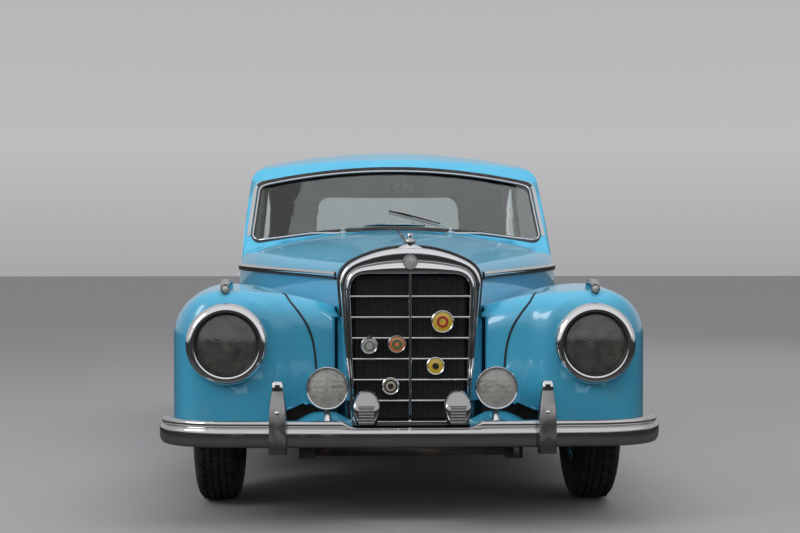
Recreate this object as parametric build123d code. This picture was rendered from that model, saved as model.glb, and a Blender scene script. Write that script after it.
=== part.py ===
from build123d import *
from math import asin, cos, radians, sin
import os

os.makedirs("parts", exist_ok=True)

# Two-door coupe of the 1950s. Millimetres, +Z up, the front faces -Y and +X is the car's left side.
# The origin is on the ground at the middle of the overall box.

# Main sizes
wheelbase = 2900
front_axle_y = -1570
rear_axle_y = front_axle_y + wheelbase
front_track = 1480
rear_track = 1525
bumper_face_y = 2350
roof_top_z = 1510

# Panels and gaps
skin = 12
lid_skin = 16
door_depth = 64
roof_wall = 24
shut_gap = 6
seat_gap = 0.4
foot_overrun = 40

# Places along the car
nose_y = -2190
radiator_y = -2050
bonnet_rear_y = -562
scuttle_front_y = bonnet_rear_y + shut_gap
glass_base_y = -450
door_front_y = -432
door_rear_y = 690
cabin_front_y = -478
cabin_rear_y = 1090
bonnet_front_y = -2022
bonnet_edge_z = 899
bonnet_edge_rise = 14
buffer_places = (-760, -1880)
boot_front_y = 1560
rear_room_y = 905
rear_room_half = 600
tail_y = 2240

# Heights
belt_z = 905
waist_z = 917
floor_z = 320
sill_top_z = 372
boot_floor_z = 520
hull_foot_z = 300
wing_foot_z = 296
recess_top_z = 500
lid_foot_z = 440

# Boot lid
lid_half = 420

# Headlamps
lamp_x = 669
lamp_z = 663
lamp_hole_radius = 120
wing_lamp_x = 693

# Wheels
tyre_radius = 354
tyre_width = 176
rim_radius = 190
front_arch_radius = 418
rear_arch_radius = 378

# Hull stations: y, belt half width, belt z, foot half width, foot z, side bulge,
# shoulder inset, shoulder rise, crown z
HULL = [
    (radiator_y, 262, 897, 225, hull_foot_z, 2, 45, 60, 1000),
    (-1310, 515, 904, 480, hull_foot_z, 4, 60, 70, 1045),
    (bonnet_rear_y, 735, 911, 715, hull_foot_z, 12, 80, 90, 1081),
    (130, 752, 915, 765, hull_foot_z, 30, 80, 90, 1085),
    (900, 745, 915, 755, hull_foot_z, 30, 80, 90, 1065),
    (1450, 700, 885, 690, hull_foot_z, 20, 90, 70, 995),
    (1900, 590, 760, 590, 320, 15, 100, 60, 865),
    (tail_y, 470, 570, 470, 360, 10, 80, 45, 640),
]

# Front wing stations: y, inner x, outer x, inner z, crown z, foot z, shoulder radius
FRONT_WING = [
    (nose_y, 525, 828, 745, 800, 360, 135),
    (-2150, 430, 856, 765, 828, 330, 170),
    (-2060, 268, 880, 785, 850, 305, 195),
    (front_axle_y, 330, 905, 750, 866, wing_foot_z, 220),
    (-1000, 400, 900, 760, 822, wing_foot_z, 200),
    (door_front_y, 560, 886, 690, 738, wing_foot_z, 170),
    (200, 640, 868, 580, 615, wing_foot_z, 120),
]

# Sweep of the front wing across the door, same columns
DOOR_SWEEP = [
    (-1000, 400, 900, 760, 822, wing_foot_z, 200),
    (door_front_y, 560, 886, 690, 738, wing_foot_z, 170),
    (200, 640, 868, 580, 615, wing_foot_z, 120),
    (760, 680, 850, 425, 455, wing_foot_z, 70),
]

# Rear wing stations, same columns
REAR_WING = [
    (700, 690, 862, 560, 590, wing_foot_z, 70),
    (900, 640, 902, 730, 775, wing_foot_z, 150),
    (rear_axle_y, 480, 930, 760, 868, wing_foot_z, 220),
    (1760, 430, 926, 700, 836, 300, 220),
    (2060, 380, 890, 600, 736, 320, 200),
    (2262, 420, 806, 560, 648, 350, 140),
]

# Roof stations: y, belt half width, rail half width, rail z, shoulder inset, shoulder rise, crown z
ROOF = [
    (-500, 738, 716, 1240, 60, 50, 1340),
    (-130, 742, 712, 1330, 62, 52, 1428),
    (200, 742, 700, 1372, 66, 60, 1488),
    (560, 742, 690, 1385, 70, 65, roof_top_z),
    (900, 735, 676, 1365, 74, 66, 1488),
    (1200, 712, 650, 1290, 80, 66, 1412),
    (1560, 640, 580, 1120, 90, 60, 1225),
]


# Frame and running gear
rail_x = 350
rail_width = 60
rail_top_z = 318
kingpin_inset = 75
kingpin_x = front_track / 2 - kingpin_inset
lower_arm_z = 236
upper_arm_z = 466
arm_thick = 18
beam_top_z = 285
drum_depth = 54
exhaust_x = 200
outrigger_z = 255
silencer_radius = 38
exhaust_z = outrigger_z - seat_gap - silencer_radius

# Towing eyes
tow_eye_radius = 28
tow_eye_width = 18
front_eye_shank = 46
rear_eye_shank = 90
tow_bore_radius = 14

# Grille and front
shell_front_y = -2094
shell_depth = 56
shell_half = 262
hole_foot_z = 372
hole_head_z = 913
hole_foot_half = 204
hole_head_half = 222
core_front_y = shell_front_y + shell_depth + seat_gap
bar_count = 6
bar_first_z = 444
bar_pitch = 77.4
slat_count = 45
slat_pitch = 8
apron_front_y = -2215
fog_x = 300
fog_z = 508
fog_y = -2270
horn_x = 160
horn_depth = 68
horn_y = apron_front_y - seat_gap - horn_depth
apron_z = 418
apron_foot_z = 346
apron_half = 470
apron_gap_half = 214
horn_foot_z = 372

# Bumpers and apron
bumper_half = 902
bumper_height = 100
bumper_bulge = 25
front_bumper_z = 344
rear_bumper_z = 410
overrider_x = 480
overrider_top = 195
overrider_foot = 70
overrider_depth = 34
bracket_x = rail_x + 2
bracket_height = 26

# Driver's place
wheel_x = 350


def closed(*edges):
    return Wire(list(edges))


def block(x0, x1, y0, y1, z0, z1):
    return Pos((x0 + x1) / 2, (y0 + y1) / 2, (z0 + z1) / 2) * Box(x1 - x0, y1 - y0, z1 - z0)


def both_sides(solid):
    return [solid, mirror(solid, Plane.YZ)]


def hull_section(row, inset):
    """Closed outline of the body between the wings, in the XZ plane."""
    y, belt_half, belt, foot_half, foot, bulge, in_x, up_z, crown = row
    belt_half -= inset
    foot_half -= inset
    crown -= inset
    low = foot - (foot_overrun if inset else 1)
    side = ((belt_half + foot_half) / 2 + bulge, y, (belt + foot) / 2)
    belt_pt = (belt_half, y, belt)
    deck = (belt_half - in_x, y, belt + up_z - inset)
    turn = (belt_half - in_x * 0.293, y, belt + (up_z - inset) * 0.707)
    flip = [(-p[0], y, p[2]) for p in (side, belt_pt, turn, deck)]
    return closed(
        Line((-foot_half, y, low), (foot_half, y, low)),
        Line((foot_half, y, low), (foot_half, y, foot)),
        ThreePointArc((foot_half, y, foot), side, belt_pt),
        ThreePointArc(belt_pt, turn, deck),
        ThreePointArc(deck, (0, y, crown), flip[3]),
        ThreePointArc(flip[3], flip[2], flip[1]),
        ThreePointArc(flip[1], flip[0], (-foot_half, y, foot)),
        Line((-foot_half, y, foot), (-foot_half, y, low)),
    )


def wing_section(row, inset):
    """Closed outline of one wing: flat foot, upright side, round shoulder, falling inner top."""
    y, inner, outer, inner_z, crown, foot, radius = row
    inner += inset
    outer -= inset
    crown -= inset
    inner_z -= inset
    foot -= foot_overrun if inset else 0
    radius -= inset * 0.3
    top_x = outer - radius
    side_z = crown - radius
    run = top_x - inner
    fall = crown - inner_z
    sweep_radius = (run * run + fall * fall) / (2 * fall)
    half_turn = asin(run / sweep_radius) / 2
    shoulder = (top_x + radius * 0.7071, y, side_z + radius * 0.7071)
    inner_mid = (top_x - sweep_radius * sin(half_turn), y, crown - sweep_radius * (1 - cos(half_turn)))
    return closed(
        Line((inner, y, foot), (outer, y, foot)),
        Line((outer, y, foot), (outer, y, side_z)),
        ThreePointArc((outer, y, side_z), shoulder, (top_x, y, crown)),
        ThreePointArc((top_x, y, crown), inner_mid, (inner, y, inner_z)),
        Line((inner, y, inner_z), (inner, y, foot)),
    )


def roof_section(row, inset):
    """Closed outline of the roof and its sides above the waist, in the XZ plane."""
    y, belt_half, rail_half, rail_z, in_x, up_z, crown = row
    belt_half -= inset
    rail_half -= inset
    crown -= inset
    up_z -= inset * 0.5
    rail = (rail_half, y, rail_z)
    deck = (rail_half - in_x, y, rail_z + up_z)
    turn = (rail_half - in_x * 0.293, y, rail_z + up_z * 0.707)
    flip = [(-p[0], y, p[2]) for p in (rail, turn, deck)]
    return closed(
        Line((-belt_half, y, belt_z - 40), (belt_half, y, belt_z - 40)),
        Line((belt_half, y, belt_z - 40), rail),
        ThreePointArc(rail, turn, deck),
        ThreePointArc(deck, (0, y, crown), flip[2]),
        ThreePointArc(flip[2], flip[1], flip[0]),
        Line(flip[0], (-belt_half, y, belt_z - 40)),
    )


def lofted(section, rows, inset=0):
    return Solid.make_loft([section(row, inset) for row in rows])


def moved_end(rows, which, shift):
    """The same stations with the first or last one moved, for the inside of a capped shell."""
    rows = list(rows)
    rows[which] = (rows[which][0] + shift,) + tuple(rows[which][1:])
    return rows


def side_prism(points, x0, x1):
    """A solid with its outline in the YZ plane, points as (y, z)."""
    wire = Wire.make_polygon([Vector(x0, y, z) for y, z in points])
    return Solid.extrude(Face(wire), Vector(x1 - x0, 0, 0))


def plan_prism(points, z0, z1):
    """A solid with its outline in the XY plane, points as (x, y)."""
    wire = Wire.make_polygon([Vector(x, y, z0) for x, y in points])
    return Solid.extrude(Face(wire), Vector(0, 0, z1 - z0))


def front_prism(wire_edges, y0, y1):
    """A solid with its outline in the XZ plane at y0."""
    return Solid.extrude(Face(Wire(wire_edges)), Vector(0, y1 - y0, 0))


# The hull in three overlapping lengths that share stations
nose_rows = HULL[:4]
cabin_rows = HULL[1:6]
tail_rows = HULL[3:]

# Windscreen and rear window surfaces: a plan arc moved along the rake
glass_rake = Vector(0, 300, 283)
rear_rake = Vector(0, -350, 430)
glass_wrap = 92
screen_rim = 16
rear_wrap = 150
glass_half = 720
flare_width = 130
flare_depth = 50
deep_cut = 500
rear_base_y = 1480
rear_base_z = 985
base_z = 1097


def glass_plan(y0, z0, wrap, toward, depth):
    """Level outline behind a window surface: a curved band, or a flared block where it is deep."""
    ends_y = y0 + toward * wrap
    far_y = ends_y + toward * depth
    arc = ThreePointArc((-glass_half, ends_y, z0), (0, y0, z0), (glass_half, ends_y, z0))
    if depth < deep_cut:
        middle = (0, y0 + toward * depth, z0)
        back = ThreePointArc((glass_half, far_y, z0), middle, (-glass_half, far_y, z0))
        right = Line((glass_half, ends_y, z0), (glass_half, far_y, z0))
        left = Line((-glass_half, far_y, z0), (-glass_half, ends_y, z0))
        return Face(Wire([arc, right, back, left]))
    wide = glass_half + flare_width
    flare_y = ends_y + toward * flare_depth
    corners = [
        (glass_half, ends_y), (wide, flare_y), (wide, far_y),
        (-wide, far_y), (-wide, flare_y), (-glass_half, ends_y),
    ]
    rest = [Line((x1, y1, z0), (x2, y2, z0)) for (x1, y1), (x2, y2) in zip(corners, corners[1:])]
    return Face(Wire([arc] + rest))


def raked_cut(offset, depth):
    """Everything behind the windscreen surface, to a given depth, moved back by offset."""
    start = Vector(0, glass_base_y + offset, base_z) + glass_rake * -1.2
    return Solid.extrude(glass_plan(start.Y, start.Z, glass_wrap, 1, depth), glass_rake * 3.4)


def rear_cut(offset, depth):
    """Everything ahead of the rear window surface, to a given depth, moved forward by offset."""
    start = Vector(0, rear_base_y - offset, rear_base_z) + rear_rake * -0.6
    return Solid.extrude(glass_plan(start.Y, start.Z, rear_wrap, -1, depth), rear_rake * 2.2)


def between_glasses(offset):
    return raked_cut(offset, 4200) & rear_cut(offset, 4200)


def cabin_cavity(clearance):
    """The room inside the cabin walls, narrower at the back where the wheels are."""
    room = lofted(hull_section, cabin_rows, door_depth + clearance)
    room = room & block(-900, 900, cabin_front_y + clearance, cabin_rear_y - clearance, 200, 1300)
    for side in (1, -1):
        x0, x1 = sorted((side * (rear_room_half - clearance), side * 900))
        room = room - block(x0, x1, rear_room_y - clearance, cabin_rear_y + 10, 200, 1300)
    return room


def wheel_cut(y, radius, x0, x1):
    return Pos((x0 + x1) / 2, y, tyre_radius) * Rot(0, 90, 0) * Cylinder(radius, x1 - x0)


def turned(profile, y, z):
    """Revolve a closed outline, points as (x, radius), about the wheel axis along X."""
    wire = Wire.make_polygon([Vector(px, y, z + r) for px, r in profile])
    return Solid.revolve(Face(wire), 360, Axis((0, y, z), (1, 0, 0)))


def turned_forward(profile, x, z):
    """Revolve a closed outline, points as (y, radius), about an axis along Y."""
    wire = Wire.make_polygon([Vector(x + r, py, z) for py, r in profile])
    return Solid.revolve(Face(wire), 360, Axis((x, 0, z), (0, 1, 0)))


parts = {}


def keep(name, shapes):
    """Write one sub-part, as one solid or as several that don't touch."""
    if not isinstance(shapes, (list, tuple)):
        shapes = [shapes]
    solids = []
    for shape in shapes:
        solids += shape.solids()
    parts[name] = solids
    whole = Compound(children=solids) if len(solids) > 1 else solids[0]
    export_step(whole, f"parts/{name}.step")


def make_body():
    """Scuttle, sills, rear quarters and tail in one piece, hollow for the cabin and the boot."""
    outer = lofted(hull_section, cabin_rows) & block(-900, 900, scuttle_front_y, 900, 0, 1300)
    tail = lofted(hull_section, tail_rows) & block(-900, 900, 900, 2400, 0, 1300)
    outer = outer + tail
    outer = outer - cabin_cavity(0)
    outer = outer - (between_glasses(0) & block(-900, 900, -440, 1470, waist_z, 1600))
    boot = lofted(hull_section, tail_rows, 26)
    boot = boot & block(-rear_room_half, rear_room_half, cabin_rear_y + 45, tail_y - 32, boot_floor_z, 885)
    outer = outer - boot
    lid_reach = lid_half + shut_gap
    outer = outer - block(-lid_reach, lid_reach, boot_front_y - shut_gap, 2400, boot_floor_z, 1200)
    outer = outer - block(-lid_reach, lid_reach, tail_y - 32, 2400, lid_foot_z - shut_gap, 1200)
    outer = outer - block(-550, 550, cabin_rear_y - 20, 2160, 200, recess_top_z)
    for side in (1, -1):
        x0, x1 = sorted((side * 640, side * 1000))
        outer = outer - wheel_cut(rear_axle_y, rear_arch_radius + 20, x0, x1)
        x0, x1 = sorted((side * 600, side * 1000))
        door_way = (door_front_y - shut_gap, door_rear_y + shut_gap)
        outer = outer - block(x0, x1, *door_way, sill_top_z - shut_gap, 1200)
        x0, x1 = sorted((side * (rail_x - 2), side * (rail_x + rail_width + 2)))
        outer = outer - block(x0, x1, scuttle_front_y - 10, cabin_front_y + 10, 200, rail_top_z + seat_gap)
    outer = outer - block(-660, 660, rear_axle_y - 60, rear_axle_y + 60, 200, 420)
    sill = lofted(wing_section, DOOR_SWEEP)
    sill = sill & block(716, 1000, door_front_y - shut_gap + 1, door_rear_y + 8, 0, sill_top_z - shut_gap)
    return outer + sill + mirror(sill, Plane.YZ)


def make_door():
    """Left door up to the waist: the front wing's sweep ends in its skin, and its rear edge is bevelled."""
    span = plan_prism(
        [
            (600, door_front_y), (1000, door_front_y), (1000, door_rear_y),
            (860, door_rear_y), (600, door_rear_y - 16),
        ],
        sill_top_z,
        waist_z,
    )
    cavity = lofted(hull_section, cabin_rows, door_depth)
    core = (lofted(hull_section, cabin_rows) & span) - cavity
    sweep = (lofted(wing_section, DOOR_SWEEP) & span) - cavity
    return core + sweep


def make_front_wing():
    """Left front wing: an open-footed shell with a wheel arch."""
    outer = lofted(wing_section, FRONT_WING)
    inner = lofted(wing_section, moved_end(FRONT_WING, 0, skin), skin)
    wing = outer - inner
    wing = wing & block(0, 1000, nose_y - 10, door_front_y - shut_gap, 0, 1300)
    wing = wing - lofted(hull_section, nose_rows, -seat_gap)
    wing = wing - wheel_cut(front_axle_y, front_arch_radius, 420, 1000)
    wing = wing - block(rail_x - 2, rail_x + rail_width + 2, nose_y, -900, 0, rail_top_z + seat_gap)
    wing = wing - block(0, shell_half + seat_gap, nose_y, radiator_y + 20, 0, 1300)
    wing = wing - Pos(lamp_x, nose_y, lamp_z) * Rot(90, 0, 0) * Cylinder(lamp_hole_radius, 80)
    return largest(wing)


def make_rear_wing():
    outer = lofted(wing_section, REAR_WING)
    inner = lofted(wing_section, moved_end(REAR_WING, -1, -skin), skin)
    wing = (outer - inner) & block(0, 1000, door_rear_y + 12, 2400, 0, 1300)
    wing = wing - lofted(hull_section, tail_rows, -seat_gap)
    wing = wing - (lofted(hull_section, cabin_rows, -seat_gap) & block(0, 1000, 500, 901, 0, 1300))
    wing = wing - wheel_cut(rear_axle_y, rear_arch_radius, 560, 1000)
    return largest(wing)


def largest(shape):
    """The main solid where a cut leaves slivers beside it."""
    return max(shape.solids(), key=lambda solid: solid.volume)


def bonnet_edge(y):
    """Height of the bonnet's lower edge at a station."""
    return bonnet_edge_z + (y - bonnet_front_y) * bonnet_edge_rise / (bonnet_rear_y - bonnet_front_y)


def make_bonnet():
    shell = lofted(hull_section, nose_rows) - lofted(hull_section, nose_rows, lid_skin)
    above = side_prism(
        [
            (bonnet_front_y, bonnet_edge(bonnet_front_y)),
            (bonnet_rear_y, bonnet_edge(bonnet_rear_y)),
            (bonnet_rear_y, 1300),
            (bonnet_front_y, 1300),
        ],
        -900,
        900,
    )
    return largest(shell & above)


def make_bay_sides():
    """Upright body sides beside the engine, with the wheel wells cut out."""
    shell = lofted(hull_section, nose_rows) - lofted(hull_section, nose_rows, skin)
    rear_y = scuttle_front_y - seat_gap
    outline = [(bonnet_front_y, rail_top_z + seat_gap), (rear_y, rail_top_z + seat_gap)]
    outline.append((rear_y, bonnet_edge(rear_y) - shut_gap))
    for y in buffer_places:
        for end, drop in ((y + 20, shut_gap), (y + 20, seat_gap), (y - 20, seat_gap), (y - 20, shut_gap)):
            outline.append((end, bonnet_edge(end) - drop))
    outline.append((bonnet_front_y, bonnet_edge(bonnet_front_y) - shut_gap))
    below = side_prism(outline, 0, 900)
    half = shell & below
    half = half - wheel_cut(front_axle_y, front_arch_radius + 10, 440, 1000)
    half = half - block(300, 700, front_axle_y - 112, front_axle_y + 112, 200, 490)
    return both_sides(largest(half))


def make_boot_lid():
    inside = lofted(hull_section, moved_end(tail_rows, -1, -lid_skin), lid_skin)
    shell = lofted(hull_section, tail_rows) - inside
    lid = shell & block(-lid_half, lid_half, boot_front_y, 2400, lid_foot_z, 1300)
    return largest(lid)


def screen_outline(margin):
    """Front view of the windscreen opening, drawn in by a margin."""
    foot_half = 700 - margin
    head_half = 676 - margin
    foot = 1022 + margin
    head = 1322 - margin
    return Face(
        Wire(
            [
                ThreePointArc((-foot_half, -900, foot), (0, -900, 1088 + margin), (foot_half, -900, foot)),
                Line((foot_half, -900, foot), (head_half, -900, head)),
                ThreePointArc((head_half, -900, head), (0, -900, 1396 - margin), (-head_half, -900, head)),
                Line((-head_half, -900, head), (-foot_half, -900, foot)),
            ]
        )
    )


def screen_prism(margin):
    face = screen_outline(margin)
    face = face.fillet_2d(44 - margin, face.vertices())
    return Solid.extrude(face, Vector(0, 880, 0))


def rear_window_prism(margin):
    half = 430 - margin
    z0 = 1052 + margin
    z1 = 1292 - margin
    corners = ((-half, z0), (half, z0), (half - 30, z1), (-half + 30, z1))
    wire = Wire.make_polygon([Vector(x, 1000, z) for x, z in corners])
    face = Face(wire)
    face = face.fillet_2d(70 - margin, face.vertices())
    return Solid.extrude(face, Vector(0, 700, 0))


door_window = [(-424, 880), (-424, 922), (-4, 1318), (300, 1342), (643, 1342), (643, 880)]
door_glass = [
    (-418, waist_z + seat_gap), (-416, 922), (4, 1310), (300, 1334), (629, 1334), (629, waist_z + seat_gap),
]
quarter_window = [(705, 945), (705, 1340), (900, 1326), (1075, 1225), (1130, 1090), (1100, 945)]


def window_prism(points, margin, radius, x0, x1):
    """A side window's outline, drawn in by a margin, through the wall on the left side."""
    face = Face(Wire.make_polygon([Vector(x0, y, z) for y, z in points]))
    if margin:
        face = offset_face(face, -margin)
    face = face.fillet_2d(radius, face.vertices())
    return Solid.extrude(face, Vector(x1 - x0, 0, 0))


def offset_face(face, amount):
    wire = face.outer_wire().offset_2d(amount, kind=Kind.INTERSECTION)
    return Face(wire)


def make_roof():
    """Roof, pillars and window openings above the waist, as one shell."""
    outer = lofted(roof_section, ROOF) & between_glasses(0)
    inner = lofted(roof_section, ROOF, roof_wall) & between_glasses(roof_wall)
    shell = outer - inner
    shell = shell & block(-900, 900, -900, 1900, waist_z + seat_gap, 1600)
    hull = lofted(hull_section, cabin_rows, -seat_gap) & block(-900, 900, -900, -440 + seat_gap, 0, 1400)
    shell = shell - hull
    deck = lofted(hull_section, tail_rows, -seat_gap) & block(-900, 900, 1470 - seat_gap, 2000, 0, 1400)
    shell = shell - deck
    shell = shell - screen_prism(0)
    shell = shell - rear_window_prism(0)
    for points in (door_window, quarter_window):
        hole = window_prism(points, 0, 24, 500, 900)
        shell = shell - hole - mirror(hole, Plane.YZ)
    return largest(shell)


def side_slab():
    """A flat slab inside the roof's side wall, leaning in with it."""
    points = [(742 - 22, 917.4), (742 - 16, 917.4), (706 - 16, 1372), (706 - 22, 1372)]
    wire = Wire.make_polygon([Vector(x, -700, z) for x, z in points])
    return Solid.extrude(Face(wire), Vector(0, 2100, 0))


def make_wheel(side, y, track, name):
    centre = side * track / 2
    flip = side
    tyre_profile = [(-58, rim_radius), (-tyre_width / 2, 262), (-76, 330), (-52, 350), (0, tyre_radius)]
    tyre_profile = tyre_profile + [(-x, r) for x, r in reversed(tyre_profile[:-1])]
    tyre = turned([(centre + x, r) for x, r in tyre_profile], y, tyre_radius)
    seat_radius = rim_radius - seat_gap
    rim_profile = [
        (-drum_depth, 0), (-drum_depth, 140), (6, 140), (6, 168), (-50, 172), (-62, 182), (-62, seat_radius),
        (62, seat_radius), (62, 182), (48, 172), (30, 165), (34, 148), (40, 138), (60, 100), (70, 50), (73, 0),
    ]
    rim = turned([(centre + flip * x, r) for x, r in rim_profile], y, tyre_radius)
    keep(f"tyre_{name}", tyre)
    keep(f"rim_{name}", rim)


def make_frame():
    """Two box side members that kick up over the rear axle, with their cross members."""
    outline = [
        (-2160, 240), (985, 240), (1135, 405), (1700, 405), (1850, 385), (2150, 385),
        (2150, 470), (1850, 470), (1700, 490), (1110, 490), (960, 318), (-2160, 318),
    ]
    rail = side_prism(outline, rail_x, rail_x + rail_width)
    frame = rail + mirror(rail, Plane.YZ)
    for y, z in ((-2080, 245), (-900, 255), (-300, 255), (500, 255), (1760, 400), (2118, 392)):
        frame = frame + block(-rail_x - 5, rail_x + 5, y - 30, y + 30, z, z + 55)
    for y in (-420, 300, 880):
        frame = frame + block(-755, 755, y - 25, y + 25, outrigger_z, wing_foot_z - seat_gap)
    return frame


def make_front_suspension():
    """Cross member with upper and lower arms and a coil spring on each side."""
    y = front_axle_y
    beam = block(-rail_x + seat_gap, rail_x - seat_gap, y - 70, y + 70, 215, beam_top_z)
    root_x = rail_x + rail_width + seat_gap
    foot, head = lower_arm_z - arm_thick / 2, upper_arm_z + arm_thick / 2
    half = block(root_x, root_x + 14, y - 100, y + 100, foot, head)
    for arm_z in (lower_arm_z, upper_arm_z):
        plan = [(root_x, y - 100), (root_x, y + 100), (kingpin_x + 9, y + 15), (kingpin_x + 9, y - 15)]
        half = half + plan_prism(plan, arm_z - arm_thick / 2, arm_z + arm_thick / 2)
    spring = Pos(500, y, (lower_arm_z + upper_arm_z) / 2) * Cylinder(46, upper_arm_z - lower_arm_z)
    return [beam] + both_sides(half + spring)


def make_knuckle():
    """Left steering knuckle: kingpin post between the arms, stub axle and steering arm."""
    y = front_axle_y
    post_height = upper_arm_z - lower_arm_z - arm_thick - 2 * seat_gap
    post = Pos(kingpin_x, y, (lower_arm_z + upper_arm_z) / 2) * Cylinder(15, post_height)
    hub_face = front_track / 2 - drum_depth
    stub_reach = hub_face - seat_gap - kingpin_x
    stub = Pos(kingpin_x, y, tyre_radius) * Rot(0, 90, 0) * Cylinder(24, stub_reach * 2)
    stub = stub & block(kingpin_x, 900, y - 60, y + 60, 200, 500)
    arm = block(kingpin_x - 8, kingpin_x + 8, y, y + 115, tyre_radius - 75, tyre_radius - 60)
    return post + stub + arm


def make_rear_axle():
    """Final drive housing, half shafts and springs."""
    y = rear_axle_y
    hub_face = rear_track / 2 - drum_depth - seat_gap
    axle = Pos(0, y, tyre_radius) * Rot(0, 90, 0) * Cylinder(34, hub_face * 2)
    axle = axle + Pos(0, y, tyre_radius) * Rot(0, 90, 0) * Cylinder(110, 170)
    for side in (1, -1):
        axle = axle + Pos(side * 480, y, 440) * Cylinder(50, 2 * (recess_top_z - seat_gap - 440))
    return axle


def make_exhaust():
    pipe = Pos(exhaust_x, 0, exhaust_z) * Rot(90, 0, 0) * Cylinder(21, 3100)
    pipe = Pos(0, 720, 0) * pipe
    silencer = Pos(exhaust_x, 150, exhaust_z) * Rot(90, 0, 0) * Cylinder(silencer_radius, 620)
    return pipe + silencer


def make_floor():
    """Floor between the sills with its tunnel and the step up to the shelf under the rear seat."""
    front = cabin_front_y + seat_gap
    step_y = cabin_rear_y - 150
    plate = block(-760, 760, front, step_y, floor_z, floor_z + 14)
    plate = plate + block(-760, 760, step_y - 12, step_y, floor_z, recess_top_z + 10)
    plate = plate + block(-760, 760, step_y - 12, cabin_rear_y - seat_gap, recess_top_z, recess_top_z + 10)
    floor = plate & cabin_cavity(seat_gap)
    tunnel = Pos(0, 80, floor_z) * Rot(90, 0, 0) * Cylinder(120, 1110)
    tunnel = tunnel & block(-200, 200, front, 630, floor_z, 600)
    return floor + tunnel


def make_seat(x0, x1, outline):
    """One seat: cushion and backrest in one simple padded outline, points as (y, z)."""
    seat = side_prism(outline, x0, x1)
    return fillet(seat.edges().filter_by(Axis.X).group_by(Axis.Z)[-1], 40)


def make_seats():
    base = floor_z + 14 + seat_gap
    front = [(-40, base), (480, base), (600, 960), (480, 960), (360, 430), (-50, 450)]
    shelf = recess_top_z + 10 + seat_gap
    rear = [
        (650, base), (cabin_rear_y - 164, base), (cabin_rear_y - 164, shelf), (cabin_rear_y - 60, shelf),
        (cabin_rear_y - 12, 895), (cabin_rear_y - 110, 895), (cabin_rear_y - 220, 450), (640, 470),
    ]
    return both_sides(make_seat(130, 610, front)) + [make_seat(-560, 560, rear)]


def make_dashboard():
    back = cabin_front_y + seat_gap
    outline = [(back, 770), (-385, 775), (-350, 800), (-345, 872), (-380, 905), (back, 905)]
    return side_prism(outline, -665, 665)


def make_steering_wheel():
    """Rim, three spokes and hub on the column that ends at the bulkhead."""
    tilt = 58
    centre = Vector(wheel_x, -150, 830)
    wheel = Torus(205, 13) + Cylinder(38, 40)
    for turn in (90, 210, 330):
        wheel = wheel + Rot(0, 0, turn) * Pos(105, 0, 0) * Box(190, 20, 9)
    wheel = Pos(*centre) * Rot(-tilt, 0, 0) * wheel
    down = Vector(0, -sin(radians(tilt)), -cos(radians(tilt)))
    column = Solid.make_cylinder(20, 500, Plane(origin=centre, z_dir=down))
    return wheel + (column & block(0, 900, cabin_front_y + seat_gap, 0, 300, 1200))


def make_radiator_shell():
    """Upright surround with an arched head and rounded front edges."""
    edges = [
        Line((-218, 0, 352), (218, 0, 352)),
        Line((218, 0, 352), (262, 0, 880)),
        ThreePointArc((262, 0, 880), (250, 0, 925), (216, 0, 958)),
        ThreePointArc((216, 0, 958), (0, 0, 1012), (-216, 0, 958)),
        ThreePointArc((-216, 0, 958), (-250, 0, 925), (-262, 0, 880)),
        Line((-262, 0, 880), (-218, 0, 352)),
    ]
    shell = Pos(0, shell_front_y, 0) * front_prism(edges, 0, shell_depth)
    shell = fillet(shell.edges().group_by(Axis.Y)[0], 15)
    corners = [(-opening_half(hole_foot_z), hole_foot_z), (opening_half(hole_foot_z), hole_foot_z)]
    corners += [(opening_half(hole_head_z), hole_head_z), (-opening_half(hole_head_z), hole_head_z)]
    hole = Face(Wire.make_polygon([Vector(x, 0, z) for x, z in corners]))
    hole = hole.fillet_2d(24, hole.vertices())
    shell = shell - Pos(0, shell_front_y - 20, 0) * Solid.extrude(hole, Vector(0, shell_depth + 40, 0))
    return shell + make_grille_bars() + make_ornament()


def opening_half(z):
    """Half width of the radiator opening at a height."""
    share = (z - hole_foot_z) / (hole_head_z - hole_foot_z)
    return hole_foot_half + (hole_head_half - hole_foot_half) * share


def make_grille_bars():
    """A centre bar and level cross bars that end on the surround."""
    y0 = shell_front_y + 12
    bars = block(-6, 6, y0, y0 + 14, hole_foot_z - 2, hole_head_z + 2)
    for i in range(bar_count):
        z = bar_first_z + i * bar_pitch
        reach = opening_half(z - 4) + 2
        bars = bars + block(-reach, reach, y0 + 2, y0 + 12, z - 4, z + 4)
    return bars


def make_grille_slats():
    """A comb of fine upright slats between a head and a foot rail."""
    y0 = shell_front_y + 28
    slats = block(-178, 178, y0, y0 + 12, hole_foot_z + seat_gap, hole_foot_z + 18)
    slats = slats + block(-198, 198, y0, y0 + 12, hole_head_z - 18, hole_head_z - seat_gap)
    for i in range(slat_count):
        x = (i - (slat_count - 1) / 2) * slat_pitch
        slats = slats + block(x - 2, x + 2, y0 + 1, y0 + 11, hole_foot_z + 14, hole_head_z - 15)
    return slats


def make_headlamp_bezel():
    y = nose_y
    back = y - seat_gap
    profile = [(back, 117), (y - 30, 117), (y - 42, 122), (y - 44, 130), (y - 36, 141), (y - 14, 148), (back, 148)]
    return turned_forward(profile, lamp_x, lamp_z)


def make_headlamp_lens():
    y = nose_y
    profile = [
        (y + 60, 0), (y + 60, 60), (y + 20, 112), (y - 20, 116), (y - 32, 100), (y - 42, 60), (y - 46, 0),
    ]
    return turned_forward(profile, lamp_x, lamp_z)


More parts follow.
